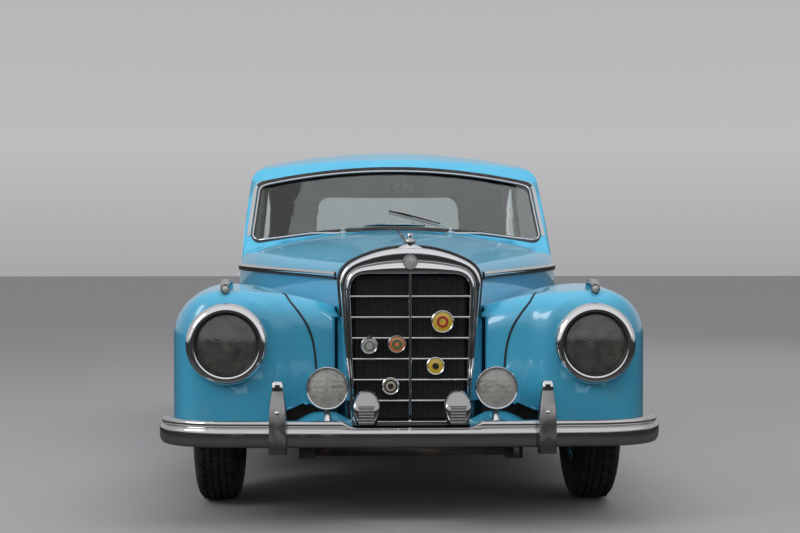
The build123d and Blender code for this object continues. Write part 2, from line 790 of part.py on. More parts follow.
def make_fog_lamp():
    """A round bowl on a stalk that stands on the apron."""
    y = fog_y
    profile = [
        (y, 0), (y + 2, 40), (y + 8, 70), (y + 12, 77), (y + 26, 77), (y + 60, 64), (y + 86, 40), (y + 96, 0),
    ]
    lamp = turned_forward(profile, fog_x, fog_z)
    stalk_y = apron_front_y + 26
    foot = Pos(fog_x, stalk_y, apron_z + seat_gap + 5) * Cylinder(22, 10)
    neck = Pos(fog_x, stalk_y, (apron_z + fog_z) / 2) * Cylinder(13, fog_z - apron_z - 20)
    return lamp + foot + neck


def make_horn():
    """A domed cap over a louvred mouth, on a short stalk."""
    edges = [
        Line((horn_x - 34, 0, horn_foot_z), (horn_x + 34, 0, horn_foot_z)),
        Line((horn_x + 34, 0, horn_foot_z), (horn_x + 48, 0, 440)),
        ThreePointArc((horn_x + 48, 0, 440), (horn_x, 0, 497), (horn_x - 48, 0, 440)),
        Line((horn_x - 48, 0, 440), (horn_x - 34, 0, horn_foot_z)),
    ]
    horn = Pos(0, horn_y, 0) * front_prism(edges, 0, horn_depth)
    horn = fillet(horn.edges().group_by(Axis.Y)[0], 20)
    for i in range(5):
        slot_z = horn_foot_z + 12 + i * 12
        horn = horn - block(horn_x - 32, horn_x + 32, horn_y - 5, horn_y + 8, slot_z, slot_z + 6)
    back_y = horn_y + horn_depth
    return horn + block(horn_x - 12, horn_x + 12, back_y - 20, back_y, apron_foot_z, horn_foot_z + 4)


def make_apron():
    """Sloping splash pan between the bumper and the body, notched round the radiator."""
    outline = [
        (apron_front_y, apron_foot_z), (apron_front_y + 10, apron_foot_z), (apron_front_y + 12, apron_z - 12),
        (-2165, apron_z - 12), (-2070, apron_z + 20), (-2070, apron_z + 32), (-2165, apron_z), (apron_front_y, apron_z),
    ]
    pan = side_prism(outline, -apron_half, apron_half)
    pan = pan - block(-shell_half - 2, shell_half + 2, shell_front_y - seat_gap, -2000, 300, 600)
    pan = pan - block(-apron_gap_half, apron_gap_half, apron_front_y - 10, -2000, horn_foot_z + 4, 600)
    for wing in both_sides(lofted(wing_section, FRONT_WING, -seat_gap)):
        pan = pan - wing
    return largest(pan)


def make_bumper(sign, end_y, z, bracket_end_y, bracket_z):
    """A bulged bar with an upper bead, swept round both corners, with its overriders and brackets."""
    face_y = sign * (bumper_face_y - overrider_depth)
    side_y = face_y - sign * 45
    back_y = face_y - sign * bumper_bulge
    points = [
        (-bumper_half, end_y, z), (-bumper_half, side_y, z), (-500, back_y, z),
        (500, back_y, z), (bumper_half, side_y, z), (bumper_half, end_y, z),
    ]
    path = FilletPolyline(*points, radius=[100, 1200, 1200, 100])
    h = bumper_height / 2
    start = Vector(points[0])
    outline = [(0, -h), (0, h), (-12, h), (-16, h - 7), (-11, h - 15)]
    at = [Vector(start.X + u, start.Y, start.Z + v) for u, v in outline]
    bulge = Vector(start.X - bumper_bulge, start.Y, start.Z - 4)
    low = Vector(start.X - 8, start.Y, start.Z - h)
    wire = closed(
        Line(at[0], at[1]),
        Line(at[1], at[2]),
        Line(at[2], at[3]),
        Line(at[3], at[4]),
        ThreePointArc(at[4], bulge, low),
        Line(low, at[0]),
    )
    whole = Solid.sweep(wire, path=path.wire())
    for side in (1, -1):
        whole = whole + make_overrider(side * overrider_x, face_y, sign, z)
        inner = back_y + sign * 3
        x0, x1 = sorted((side * bracket_x, side * (bracket_x + 24)))
        bracket = block(x0, x1, *sorted((inner, bracket_end_y)), bracket_z, bracket_z + bracket_height)
        whole = whole + bracket
    return whole


def make_overrider(x, face_y, sign, z):
    """An upright bumper guard that narrows to its top."""
    reach = sign * overrider_depth
    back_y = face_y - sign * 12
    foot = z - overrider_foot
    top = z + overrider_top
    outline = [
        (back_y, foot), (face_y + reach * 0.8, foot + 4), (face_y + reach, foot + 45),
        (face_y + reach * 0.75, top - 60), (face_y + reach * 0.3, top), (back_y, top),
    ]
    guard = side_prism(outline, x - 36, x + 36)
    front = [(-36, foot - 1), (36, foot - 1), (18, top + 1), (-18, top + 1)]
    taper = Solid.extrude(
        Face(Wire.make_polygon([Vector(x + u, -2500, v) for u, v in front])), Vector(0, 5000, 0)
    )
    return guard & taper


def make_wing_lamp():
    """A small streamlined lamp that sits on the crown of the wing."""
    outline = [(-2046, 830), (-1944, 830), (-1948, 866), (-1984, 876), (-2020, 878), (-2043, 866)]
    lamp = side_prism(outline, wing_lamp_x - 17, wing_lamp_x + 17)
    return largest(lamp - lofted(wing_section, FRONT_WING, -seat_gap))


def make_tail_lamp():
    profile = [(2262.4, 0), (2262.4, 46), (2274, 46), (2286, 36), (2292, 20), (2293, 0)]
    return turned_forward(profile, 660, 560)


def make_wiper(side):
    x = side * 255
    pivot = Pos(x, -492, 1080) * Cylinder(9, 60)
    pivot = largest(pivot - lofted(hull_section, cabin_rows, -seat_gap))
    reach = Vector(-side * 330, 62, 60)
    start = Vector(x, -492, 1103)
    arm = Solid.make_cylinder(3, reach.length, Plane(origin=start, z_dir=reach))
    return pivot + arm


def make_ornament():
    """Plain capped filler on a broad foot at the crown of the surround."""
    y = shell_front_y + shell_depth / 2
    foot = block(-50, 50, y - 17, y + 17, 1000, 1026)
    foot = fillet(foot.edges().group_by(Axis.Z)[-1], 9)
    cap = Pos(0, y, 1036) * Cylinder(20, 30)
    knob = Pos(0, y, 1053) * Sphere(14)
    return foot + cap + knob


badge_places = [(-152, 652, 32), (-50, 655, 34), (119, 738, 43), (93, 574, 34), (-73, 500, 32)]


def make_badges():
    badges = []
    for x, z, size in badge_places:
        y = shell_front_y
        disc = turned_forward([(y - 6, 0), (y - 4, size), (y + 2, size), (y + 4, 0)], x, z)
        pin = Pos(x, shell_front_y + 14.8, z) * Rot(90, 0, 0) * Cylinder(5, 27.6)
        badges.append(disc + pin)
    return badges


def make_tow_eye(y, z, turn, reach):
    """A forged eye with a bore across the car, on a shank of a given reach, turned about X."""
    x = rail_x + rail_width / 2
    eye = Pos(x, y, z) * Rot(0, 90, 0) * Cylinder(tow_eye_radius, tow_eye_width)
    shank = Pos(0, reach / 2, 0) * Box(tow_eye_width, reach, tow_eye_radius * 2)
    eye = eye + Pos(x, y, z) * Rot(turn, 0, 0) * shank
    return eye - Pos(x, y, z) * Rot(0, 90, 0) * Cylinder(tow_bore_radius, tow_eye_width * 2)


def make_all():
    keep("body_shell", make_body())
    for shape, side in zip(both_sides(make_door()), ("left", "right")):
        keep(f"door_{side}", shape)
    keep("front_wings", both_sides(make_front_wing()))
    keep("rear_wings", both_sides(make_rear_wing()))
    keep("bonnet", make_bonnet())
    keep("bay_sides", make_bay_sides() + [make_apron()])
    keep("boot_lid", make_boot_lid())
    keep("roof", make_roof())
    keep("windscreen_frame", raked_cut(-4, 17) & (screen_prism(seat_gap) - screen_prism(screen_rim)))
    keep("windscreen", raked_cut(8, 6) & screen_prism(screen_rim + seat_gap))
    quarter = window_prism(quarter_window, seat_gap, 24, 500, 900) & side_slab()
    keep("rear_glass", [rear_cut(10, 6) & rear_window_prism(seat_gap)] + both_sides(quarter))
    pane = side_prism(door_glass, 500, 900) & side_slab()
    for shape, side in zip(both_sides(pane), ("left", "right")):
        keep(f"door_glass_{side}", shape)
    keep("frame_members", make_frame())
    keep("front_suspension", make_front_suspension())
    for shape, side in zip(both_sides(make_knuckle()), ("left", "right")):
        keep(f"knuckle_{side}", shape)
    keep("rear_axle", make_rear_axle())
    keep("engine_block", block(-230, 230, -1760, -932, beam_top_z + seat_gap, 850))
    keep("exhaust", make_exhaust())
    keep("fuel_tank", block(-rail_x + 12, rail_x - 12, 1800, 2080, 300, recess_top_z - seat_gap))
    keep("floor_pan", make_floor())
    keep("seats", make_seats())
    keep("dashboard", make_dashboard())
    keep("steering_wheel", make_steering_wheel())
    keep("radiator_shell", make_radiator_shell())
    core = block(-214, 214, core_front_y, -1980, rail_top_z + seat_gap, 890)
    keep("radiator_core", [core, make_grille_slats()])
    keep("grille_badges", make_badges())
    keep("headlamp_bezels", both_sides(make_headlamp_bezel()))
    keep("headlamp_lenses", both_sides(make_headlamp_lens()))
    keep("fog_lamps", both_sides(make_fog_lamp()))
    keep("horns", both_sides(make_horn()))
    keep("front_bumper", make_bumper(-1, -2090, front_bumper_z, -2132, rail_top_z + seat_gap))
    keep("rear_bumper", make_bumper(1, 2080, rear_bumper_z, tail_y + seat_gap, 392))
    keep("wing_lamps", both_sides(make_wing_lamp()))
    keep("tail_lamps", both_sides(make_tail_lamp()))
    keep("wipers", [make_wiper(1), make_wiper(-1)])
    front_eye = make_tow_eye(-2160 - seat_gap - front_eye_shank, 279, 0, front_eye_shank)
    rear_eye = make_tow_eye(2080, 385 - seat_gap - rear_eye_shank, 90, rear_eye_shank)
    keep("tow_eyes", [front_eye, rear_eye])
    for side, label in ((1, "left"), (-1, "right")):
        make_wheel(side, front_axle_y, front_track, f"front_{label}")
        make_wheel(side, rear_axle_y, rear_track, f"rear_{label}")


make_all()
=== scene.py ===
from math import asin, copysign, cos, hypot, pi, radians, sin, sqrt

import bmesh
import bpy
import numpy as np
from mathutils import Euler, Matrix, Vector
from mathutils.bvhtree import BVHTree


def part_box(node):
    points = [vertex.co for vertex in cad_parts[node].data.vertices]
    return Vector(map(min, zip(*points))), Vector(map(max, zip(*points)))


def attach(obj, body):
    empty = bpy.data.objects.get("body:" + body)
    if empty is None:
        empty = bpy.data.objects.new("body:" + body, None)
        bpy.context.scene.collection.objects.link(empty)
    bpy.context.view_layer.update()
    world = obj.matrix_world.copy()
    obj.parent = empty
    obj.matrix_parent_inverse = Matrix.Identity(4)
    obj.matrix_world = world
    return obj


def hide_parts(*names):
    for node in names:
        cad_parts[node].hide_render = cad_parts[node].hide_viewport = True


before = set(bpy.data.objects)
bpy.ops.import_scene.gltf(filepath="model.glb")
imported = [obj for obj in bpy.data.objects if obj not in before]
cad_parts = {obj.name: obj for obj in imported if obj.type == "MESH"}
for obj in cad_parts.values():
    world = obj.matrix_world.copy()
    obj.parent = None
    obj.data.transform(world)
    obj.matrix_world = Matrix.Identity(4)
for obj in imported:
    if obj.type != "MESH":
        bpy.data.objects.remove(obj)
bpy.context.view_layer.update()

# Metres, in the same frame as the solids: the front of the car faces -Y and +X is its left side.

# The photograph and the camera that took it
photo_width = 800
photo_height = 533
photo_focal = 1537
sensor_width = 36
camera_place = Vector((-0.225, -7.77, 1.029))
camera_turn = Euler((radians(90 - 0.876), 0, radians(-1.883)))

# Main places on the car
front_axle_y = -1.570
rear_axle_y = 1.330
front_wheel_x = 0.740
rear_wheel_x = 0.7625
tyre_radius = 0.354
nose_y = -2.190
bumper_face_y = 2.316
front_bumper_z = 0.344
rear_bumper_z = 0.410
front_arch_radius = 0.418
rear_arch_radius = 0.378
rear_end_y = 2.262
wing_inner_x = 0.2625
lamp_hole_radius = 0.118
bay_front_y = -2.069
lamp_x = 0.668
lamp_z = 0.663
shell_front_y = -2.094
both_sides = ((1, "left"), (-1, "right"))

# Where rays start that look for a surface from outside
beside_car = 1.4
above_car = 1.6
behind_car = 3.2
before_screen = -1.2

# Directions as the driver sees them
leftward = (1, 0, 0)
rearward = (0, 1, 0)
upward = (0, 0, 1)
forward = (0, -1, 0)
downward = (0, 0, -1)


# Materials: each is a Principled shader whose details read Object coordinates

def wire(tree, *pairs):
    """Links, each from one socket to another."""
    for source, target in pairs:
        tree.links.new(source, target)


def new_finish(name, colour, roughness, metal=0.0, **sockets):
    material = bpy.data.materials.new(name)
    material.use_nodes = True
    shader = material.node_tree.nodes["Principled BSDF"]
    shader.inputs["Base Color"].default_value = (*colour, 1)
    shader.inputs["Roughness"].default_value = roughness
    shader.inputs["Metallic"].default_value = metal
    for socket, value in sockets.items():
        shader.inputs[socket.replace("_", " ")].default_value = value
    return material


def shader_of(material):
    return material.node_tree.nodes["Principled BSDF"]


def object_place(material, stretch=(1, 1, 1)):
    """Object coordinates, stretched along each axis."""
    tree = material.node_tree
    coords = tree.nodes.new("ShaderNodeTexCoord")
    mapping = tree.nodes.new("ShaderNodeMapping")
    mapping.inputs["Scale"].default_value = stretch
    tree.links.new(coords.outputs["Object"], mapping.inputs["Vector"])
    return mapping.outputs["Vector"]


def texture_node(material, kind, stretch, **sockets):
    """A texture that reads Object coordinates."""
    tree = material.node_tree
    texture = tree.nodes.new(kind)
    for socket, value in sockets.items():
        texture.inputs[socket].default_value = value
    tree.links.new(object_place(material, stretch), texture.inputs["Vector"])
    return texture


def cloudy(material, scale, detail=4, stretch=(1, 1, 1)):
    return texture_node(material, "ShaderNodeTexNoise", stretch, Scale=scale, Detail=detail).outputs["Fac"]


def pebbled(material, scale, stretch=(1, 1, 1)):
    return texture_node(material, "ShaderNodeTexVoronoi", stretch, Scale=scale).outputs["Distance"]


def banded(material, scale, distortion, direction="Z", stretch=(1, 1, 1)):
    texture = texture_node(
        material, "ShaderNodeTexWave", stretch, Scale=scale, Distortion=distortion, Detail=3,
    )
    texture.bands_direction = direction
    return texture.outputs["Fac"]


def height(material):
    """The Z of Object coordinates."""
    tree = material.node_tree
    split = tree.nodes.new("ShaderNodeSeparateXYZ")
    tree.links.new(object_place(material), split.inputs[0])
    return split.outputs["Z"]


def between(material, value, low, high):
    """A mask that is 0 where the value is at low and 1 where it is at high."""
    tree = material.node_tree
    remap = tree.nodes.new("ShaderNodeMapRange")
    remap.interpolation_type = "SMOOTHSTEP"
    remap.inputs["From Min"].default_value = low
    remap.inputs["From Max"].default_value = high
    tree.links.new(value, remap.inputs["Value"])
    return remap.outputs["Result"]


def clouds(material, scale, detail, low, high, stretch=(1, 1, 1)):
    """A mask of soft clouds."""
    return between(material, cloudy(material, scale, detail, stretch), low, high)


def combined(tree, operation, first, second):
    """Two values put together by a node."""
    node = tree.nodes.new("ShaderNodeMath")
    node.operation = operation
    tree.links.new(first, node.inputs[0])
    tree.links.new(second, node.inputs[1])
    return node.outputs[0]


def both(material, first, second):
    """A mask that is 1 where two masks are."""
    return combined(material.node_tree, "MULTIPLY", first, second)


def lay_colour(material, mask, colour):
    """Mix a colour over what is there already."""
    tree = material.node_tree
    target = shader_of(material).inputs["Base Color"]
    mix = tree.nodes.new("ShaderNodeMix")
    mix.data_type = "RGBA"
    below, above = mix.inputs[6], mix.inputs[7]
    below.default_value = target.default_value
    if target.is_linked:
        tree.links.new(target.links[0].from_socket, below)
    above.default_value = (*colour, 1)
    tree.links.new(mask, mix.inputs[0])
    tree.links.new(mix.outputs[2], target)


def lay_roughness(material, mask, roughness):
    tree = material.node_tree
    target = shader_of(material).inputs["Roughness"]
    mix = tree.nodes.new("ShaderNodeMix")
    mix.inputs[2].default_value = target.default_value
    if target.is_linked:
        tree.links.new(target.links[0].from_socket, mix.inputs[2])
    mix.inputs[3].default_value = roughness
    tree.links.new(mask, mix.inputs[0])
    tree.links.new(mix.outputs[0], target)


def lay_bump(material, value, strength, distance):
    tree = material.node_tree
    target = shader_of(material).inputs["Normal"]
    bump = tree.nodes.new("ShaderNodeBump")
    bump.inputs["Strength"].default_value = strength
    bump.inputs["Distance"].default_value = distance
    tree.links.new(value, bump.inputs["Height"])
    if target.is_linked:
        tree.links.new(target.links[0].from_socket, bump.inputs["Normal"])
    tree.links.new(bump.outputs["Normal"], target)


def make_body_paint():
    paint = new_finish(
        "turquoise_blue_paint", (0.050, 0.375, 0.590), 0.30, Coat_Weight=0.72, Coat_Roughness=0.03,
    )
    lay_colour(paint, clouds(paint, 2.5, 3, 0.35, 0.75), (0.060, 0.405, 0.62))
    low = between(paint, height(paint), 0.62, 0.28)
    grime = clouds(paint, 14, 6, 0.42, 0.72)
    lay_colour(paint, both(paint, low, grime), (0.095, 0.36, 0.52))
    lay_roughness(paint, both(paint, low, grime), 0.5)
    lay_bump(paint, cloudy(paint, 260, 2), 0.035, 0.0008)
    return paint


def make_chrome(name, tone, roughness, dull, spots):
    """Plated metal with cloudy dulling and, where it is worn, fine pits."""
    chrome = new_finish(name, tone, roughness, metal=1.0)
    lay_roughness(chrome, clouds(chrome, 18, 6, 0.45, 0.75), dull)
    pits = between(chrome, pebbled(chrome, 420), 0.10, 0.02)
    worn = both(chrome, pits, clouds(chrome, 9, 4, 0.48, 0.62))
    lay_colour(chrome, worn, spots)
    lay_bump(chrome, cloudy(chrome, 60, 3), 0.02, 0.002)
    return chrome


def make_rubber(name, tone, roughness):
    rubber = new_finish(name, tone, roughness)
    lay_colour(rubber, clouds(rubber, 30, 6, 0.4, 0.75), tuple(c * 2.2 + 0.008 for c in tone))
    lay_bump(rubber, cloudy(rubber, 500, 3), 0.25, 0.0006)
    return rubber


def make_plain_metal(name, tone, roughness, metal, rust=None):
    metal_finish = new_finish(name, tone, roughness, metal=metal)
    lay_roughness(metal_finish, clouds(metal_finish, 40, 5, 0.35, 0.7), min(1.0, roughness + 0.2))
    if rust:
        lay_colour(metal_finish, clouds(metal_finish, 12, 7, 0.5, 0.68), rust)
    lay_bump(metal_finish, cloudy(metal_finish, 220, 4), 0.2, 0.0008)
    return metal_finish


def make_leather():
    leather = new_finish("cream_leather", (0.50, 0.42, 0.31), 0.42, Coat_Weight=0.1, Coat_Roughness=0.3)
    lay_colour(leather, clouds(leather, 7, 5, 0.4, 0.75), (0.38, 0.30, 0.21))
    lay_roughness(leather, clouds(leather, 25, 4, 0.4, 0.7), 0.58)
    lay_bump(leather, pebbled(leather, 520), 0.35, 0.0006)
    lay_bump(leather, cloudy(leather, 35, 6), 0.3, 0.004)
    return leather


def make_wood():
    wood = new_finish("varnished_walnut", (0.20, 0.085, 0.035), 0.25, Coat_Weight=0.8, Coat_Roughness=0.06)
    lay_colour(wood, between(wood, banded(wood, 9, 9, "Z", (0.35, 1, 1)), 0.2, 0.85), (0.36, 0.17, 0.07))
    lay_colour(wood, clouds(wood, 60, 4, 0.5, 0.8, (0.1, 1, 1)), (0.10, 0.04, 0.018))
    lay_bump(wood, cloudy(wood, 120, 3, (0.08, 1, 1)), 0.08, 0.0006)
    return wood


def make_glass(name, tint, roughness):
    glass = new_finish(name, tint, roughness, IOR=1.45, Transmission_Weight=1.0)
    lay_roughness(glass, clouds(glass, 8, 5, 0.55, 0.85), roughness + 0.03)
    return glass


def make_lens():
    """Pressed lamp glass, dulled by age and a little cloudy."""
    lens = new_finish(
        "lamp_lens_glass", (0.40, 0.40, 0.37), 0.10, IOR=1.45, Transmission_Weight=0.86, Coat_Weight=0.6,
    )
    lay_colour(lens, clouds(lens, 26, 6, 0.42, 0.72), (0.22, 0.22, 0.20))
    lay_roughness(lens, clouds(lens, 40, 5, 0.45, 0.75), 0.30)
    lay_bump(lens, cloudy(lens, 90, 3), 0.10, 0.002)
    return lens


def make_fog_glass():
    """Pale ribbed glass of the fog lamps."""
    lens = new_finish(
        "fog_lens_glass", (0.66, 0.66, 0.62), 0.14, IOR=1.45, Transmission_Weight=0.45, Coat_Weight=0.7,
    )
    lay_colour(lens, clouds(lens, 40, 5, 0.45, 0.75), (0.42, 0.42, 0.38))
    lay_roughness(lens, clouds(lens, 60, 4, 0.40, 0.75), 0.30)
    return lens


def make_enamel(name, colour, second):
    enamel = new_finish(name, colour, 0.25, Coat_Weight=0.8, Coat_Roughness=0.08)
    lay_colour(enamel, clouds(enamel, 90, 4, 0.45, 0.8), second)
    return enamel


def make_trim_cloth():
    cloth = new_finish("trim_cloth", (0.085, 0.075, 0.066), 0.95, Sheen_Weight=0.25)
    lay_colour(cloth, clouds(cloth, 5, 5, 0.4, 0.75), (0.060, 0.052, 0.045))
    lay_bump(cloth, banded(cloth, 420, 0.4, "X"), 0.25, 0.0005)
    lay_bump(cloth, banded(cloth, 420, 0.4, "Y"), 0.25, 0.0005)
    return cloth


def make_carpet():
    carpet = new_finish("grey_carpet", (0.10, 0.095, 0.09), 0.95, Sheen_Weight=0.4, Sheen_Roughness=0.5)
    lay_colour(carpet, clouds(carpet, 300, 3, 0.35, 0.7), (0.19, 0.18, 0.17))
    lay_bump(carpet, cloudy(carpet, 900, 2), 0.9, 0.002)
    return carpet


body_paint = make_body_paint()
chrome = make_chrome("bright_chrome", (0.80, 0.81, 0.82), 0.05, 0.14, (0.30, 0.27, 0.23))
aged_chrome = make_chrome("aged_chrome", (0.58, 0.58, 0.58), 0.10, 0.30, (0.22, 0.18, 0.14))
horn_chrome = make_chrome("horn_chrome", (0.42, 0.42, 0.42), 0.14, 0.30, (0.24, 0.22, 0.19))
dull_plate = make_chrome("dull_plating", (0.34, 0.33, 0.33), 0.24, 0.44, (0.16, 0.14, 0.13))
bumper_chrome = make_chrome("bumper_chrome", (0.62, 0.62, 0.62), 0.07, 0.22, (0.20, 0.16, 0.12))
reflector_silver = make_chrome("reflector_silver", (0.62, 0.62, 0.60), 0.16, 0.34, (0.35, 0.33, 0.30))
tyre_rubber = make_rubber("tyre_rubber", (0.016, 0.016, 0.017), 0.72)
seal_rubber = make_rubber("seal_rubber", (0.012, 0.012, 0.013), 0.5)
window_glass = make_glass("window_glass", (0.74, 0.80, 0.79), 0.0)
rear_window_glass = make_glass("rear_window_glass", (0.60, 0.66, 0.65), 0.0)
lens_glass = make_lens()
fog_glass = make_fog_glass()
red_lens = new_finish("red_tail_lens", (0.45, 0.008, 0.008), 0.12, Transmission_Weight=0.5, Coat_Weight=1.0)
lay_colour(red_lens, clouds(red_lens, 40, 4, 0.45, 0.8), (0.32, 0.004, 0.006))
chassis_black = make_plain_metal("chassis_black", (0.020, 0.020, 0.022), 0.5, 0.0, (0.07, 0.05, 0.04))
slat_black = make_plain_metal("grille_slat_black", (0.050, 0.048, 0.050), 0.38, 0.3)
core_black = make_plain_metal("radiator_core_black", (0.012, 0.012, 0.012), 0.6, 0.0)
cast_iron = make_plain_metal("cast_iron", (0.09, 0.09, 0.092), 0.55, 0.6, (0.12, 0.07, 0.04))
axle_steel = make_plain_metal("axle_steel", (0.24, 0.24, 0.25), 0.4, 0.9, (0.16, 0.09, 0.05))
exhaust_steel = make_plain_metal("exhaust_steel", (0.26, 0.23, 0.20), 0.45, 0.85, (0.18, 0.09, 0.045))
cream_leather = make_leather()
walnut = make_wood()
carpet = make_carpet()
trim_cloth = make_trim_cloth()
ivory_plastic = make_enamel("ivory_plastic", (0.62, 0.57, 0.44), (0.55, 0.49, 0.36))
dial_black = make_enamel("dial_black", (0.02, 0.02, 0.022), (0.03, 0.03, 0.032))
cream_enamel = make_enamel("cream_enamel", (0.62, 0.56, 0.42), (0.50, 0.43, 0.30))
yellow_enamel = make_enamel("yellow_enamel", (0.66, 0.47, 0.05), (0.55, 0.36, 0.05))
red_enamel = make_enamel("red_enamel", (0.42, 0.035, 0.02), (0.32, 0.03, 0.02))
green_enamel = make_enamel("green_enamel", (0.04, 0.16, 0.07), (0.05, 0.12, 0.06))
orange_enamel = make_enamel("orange_enamel", (0.62, 0.20, 0.06), (0.48, 0.16, 0.06))
dull_plate_enamel = make_enamel("silver_enamel", (0.40, 0.40, 0.39), (0.26, 0.25, 0.24))
wheel_paint = make_enamel("wheel_paint", (0.085, 0.42, 0.63), (0.10, 0.40, 0.58))

# The slot of each finish, where a piece names no other
finish_slots = {
    "body_paint": (body_paint,),
    "chrome_plate": (chrome, aged_chrome, horn_chrome, dull_plate, bumper_chrome, reflector_silver),
    "tyre_rubber": (tyre_rubber, seal_rubber),
    "lamp_glass": (lens_glass, fog_glass),
    "tail_lens": (red_lens,),
    "chassis_black": (chassis_black,),
    "slat_black": (slat_black, core_black, dial_black),
    "seat_leather": (cream_leather, trim_cloth),
    "dash_wood": (walnut,),
    "wheel_plastic": (ivory_plastic,),
    "wheel_paint": (wheel_paint,),
}
slot_of = {finish.name: slot for slot, finishes in finish_slots.items() for finish in finishes}


# Mesh helpers

def put_in_scene(name, data):
    thing = bpy.data.objects.new(name, data)
    bpy.context.scene.collection.objects.link(thing)
    return thing


def evaluated(thing):
    """The thing as its modifiers leave it."""
    bpy.context.view_layer.update()
    return thing.evaluated_get(bpy.context.evaluated_depsgraph_get())


def new_piece(name, verts, faces, material, crease=38):
    """A mesh with outward faces, smooth up to the crease angle."""
    mesh = bpy.data.meshes.new(name)
    mesh.from_pydata([tuple(v) for v in verts], [], faces)
    built = bmesh.new()
    built.from_mesh(mesh)
    bmesh.ops.remove_doubles(built, verts=built.verts, dist=1e-6)
    bmesh.ops.recalc_face_normals(built, faces=built.faces)
    built.to_mesh(mesh)
    built.free()
    mesh.materials.append(material)
    piece = put_in_scene(name, mesh)
    shade_smooth(piece, crease)
    return piece


def shade_smooth(piece, crease):
    mesh = piece.data
    mesh.polygons.foreach_set("use_smooth", [True] * len(mesh.polygons))
    mesh.set_sharp_from_angle(angle=radians(crease))
    mesh.update()


def fasten(piece, body, slot, *nodes):
    """The piece rides on its body and stands for its nodes; its slot is not used."""
    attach(piece, body)
    if nodes:
        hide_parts(*nodes)
    return piece


def add(name, part, material, *nodes, slot=None, body="car_body", crease=38):
    """A new piece of a part's vertices and faces, fastened to its body."""
    piece = new_piece(name, *part, material, crease)
    return fasten(piece, body, slot or slot_of[material.name], *nodes)


def skin(rings, closed=True):
    """Vertices and faces between rings; a ring of one point is a pole."""
    verts = []
    faces = []
    starts = []
    for ring in rings:
        starts.append(len(verts))
        verts.extend(ring)
    for k in range(len(rings) - 1):
        a, b = starts[k], starts[k + 1]
        count_a, count_b = len(rings[k]), len(rings[k + 1])
        count = max(count_a, count_b)
        for i in range(count if closed else count - 1):
            j = (i + 1) % count
            if count_a == 1:
                faces.append((a, b + j, b + i))
            elif count_b == 1:
                faces.append((a + i, a + j, b))
            else:
                faces.append((a + i, a + j, b + j, b + i))
    return verts, faces


def capped(rings):
    """A closed skin whose first and last rings are filled."""
    verts, faces = skin(rings)
    faces.append(tuple(range(len(rings[0]))))
    last = len(verts) - len(rings[-1])
    faces.append(tuple(range(last, len(verts))))
    return verts, faces


def across(outline, stations):
    """A closed part with one side outline of (y, z) at every x of the stations."""
    return capped([[Vector((x, y, z)) for y, z in outline] for x in stations])


def joined(*parts):
    """Several parts as one."""
    verts = []
    faces = []
    for part_verts, part_faces in parts:
        start = len(verts)
        verts.extend(part_verts)
        faces.extend(tuple(start + i for i in face) for face in part_faces)
    return verts, faces


def with_mirror(part):
    """The same shape on the other side of the car too."""
    verts, faces = part
    other = [Vector((-v[0], v[1], v[2])) for v in verts]
    return joined(part, (other, [tuple(reversed(face)) for face in faces]))


def rounded(points, radius, steps=6):
    """A closed 2D outline with its corners made round."""
    outline = []
    count = len(points)
    for i in range(count):
        before = Vector(points[i - 1])
        corner = Vector(points[i])
        after = Vector(points[(i + 1) % count])
        back = before - corner
        ahead = after - corner
        reach = min(radius, back.length * 0.49, ahead.length * 0.49)
        start = corner + back.normalized() * reach
        end = corner + ahead.normalized() * reach
        for k in range(steps + 1):
            t = k / steps
            outline.append((1 - t) ** 2 * start + 2 * t * (1 - t) * corner + t * t * end)
    return outline


def tapered(low_half, low, high_half, high, radius, steps):
    """A rounded outline that is level, symmetric and wider at one end."""
    return rounded(
        [(-low_half, low), (low_half, low), (high_half, high), (-high_half, high)], radius, steps,
    )


def curve_through(points, steps=8, closed=False):
    """Points of a smooth curve through the given ones."""
    points = [Vector(p) for p in points]
    count = len(points)
    path = []
    spans = count if closed else count - 1
    for i in range(spans):
        p1 = points[i]
        p2 = points[(i + 1) % count]
        p0 = points[i - 1] if closed or i else p1 * 2 - p2
        p3 = points[(i + 2) % count] if closed or i + 2 < count else p2 * 2 - p1
        for k in range(steps):
            t = k / steps
            path.append(
                0.5 * (2 * p1 + (p2 - p0) * t + (2 * p0 - 5 * p1 + 4 * p2 - p3) * t * t
                       + (3 * p1 - p0 - 3 * p2 + p3) * t ** 3)
            )
    if not closed:
        path.append(points[-1])
    return path


def sweep(path, section, up=Vector(upward), closed=False, scales=None):
    """Rings of a 2D section along a path: u points sideways and v along up."""
    rings = []
    count = len(path)
    for i, point in enumerate(path):
        before = path[i - 1] if closed or i else path[0]
        after = path[(i + 1) % count] if closed or i + 1 < count else path[-1]
        along = (after - before).normalized()
        side = along.cross(up).normalized()
        rise = side.cross(along).normalized()
        size = scales[i] if scales else 1
        rings.append([point + side * (u * size) + rise * (v * size) for u, v in section])
    return rings


def circle(radius, count=12, squeeze=1.0):
    turns = [2 * pi * i / count for i in range(count)]
    return [(radius * cos(a), radius * squeeze * sin(a)) for a in turns]


def tube(path, radius, count=10, up=Vector(upward), scales=None, squeeze=1.0):
    return capped(sweep([Vector(p) for p in path], circle(radius, count, squeeze), up, scales=scales))


def ring_tube(path, section, up=Vector(upward)):
    """A section swept round a closed path."""
    rings = sweep([Vector(p) for p in path], section, up, closed=True)
    return skin(rings + rings[:1])


def lathe(profile, centre, axis, count=48):
    """A profile of (along the axis, radius) turned about an axis; radius 0 is a pole."""
    axis = Vector(axis).normalized()
    side = axis.orthogonal().normalized()
    other = axis.cross(side)
    centre = Vector(centre)
    rings = []
    for along, radius in profile:
        middle = centre + axis * along
        if radius == 0:
            rings.append([middle])
            continue
        rings.append([middle + side * u + other * v for u, v in circle(radius, count)])
    return skin(rings)


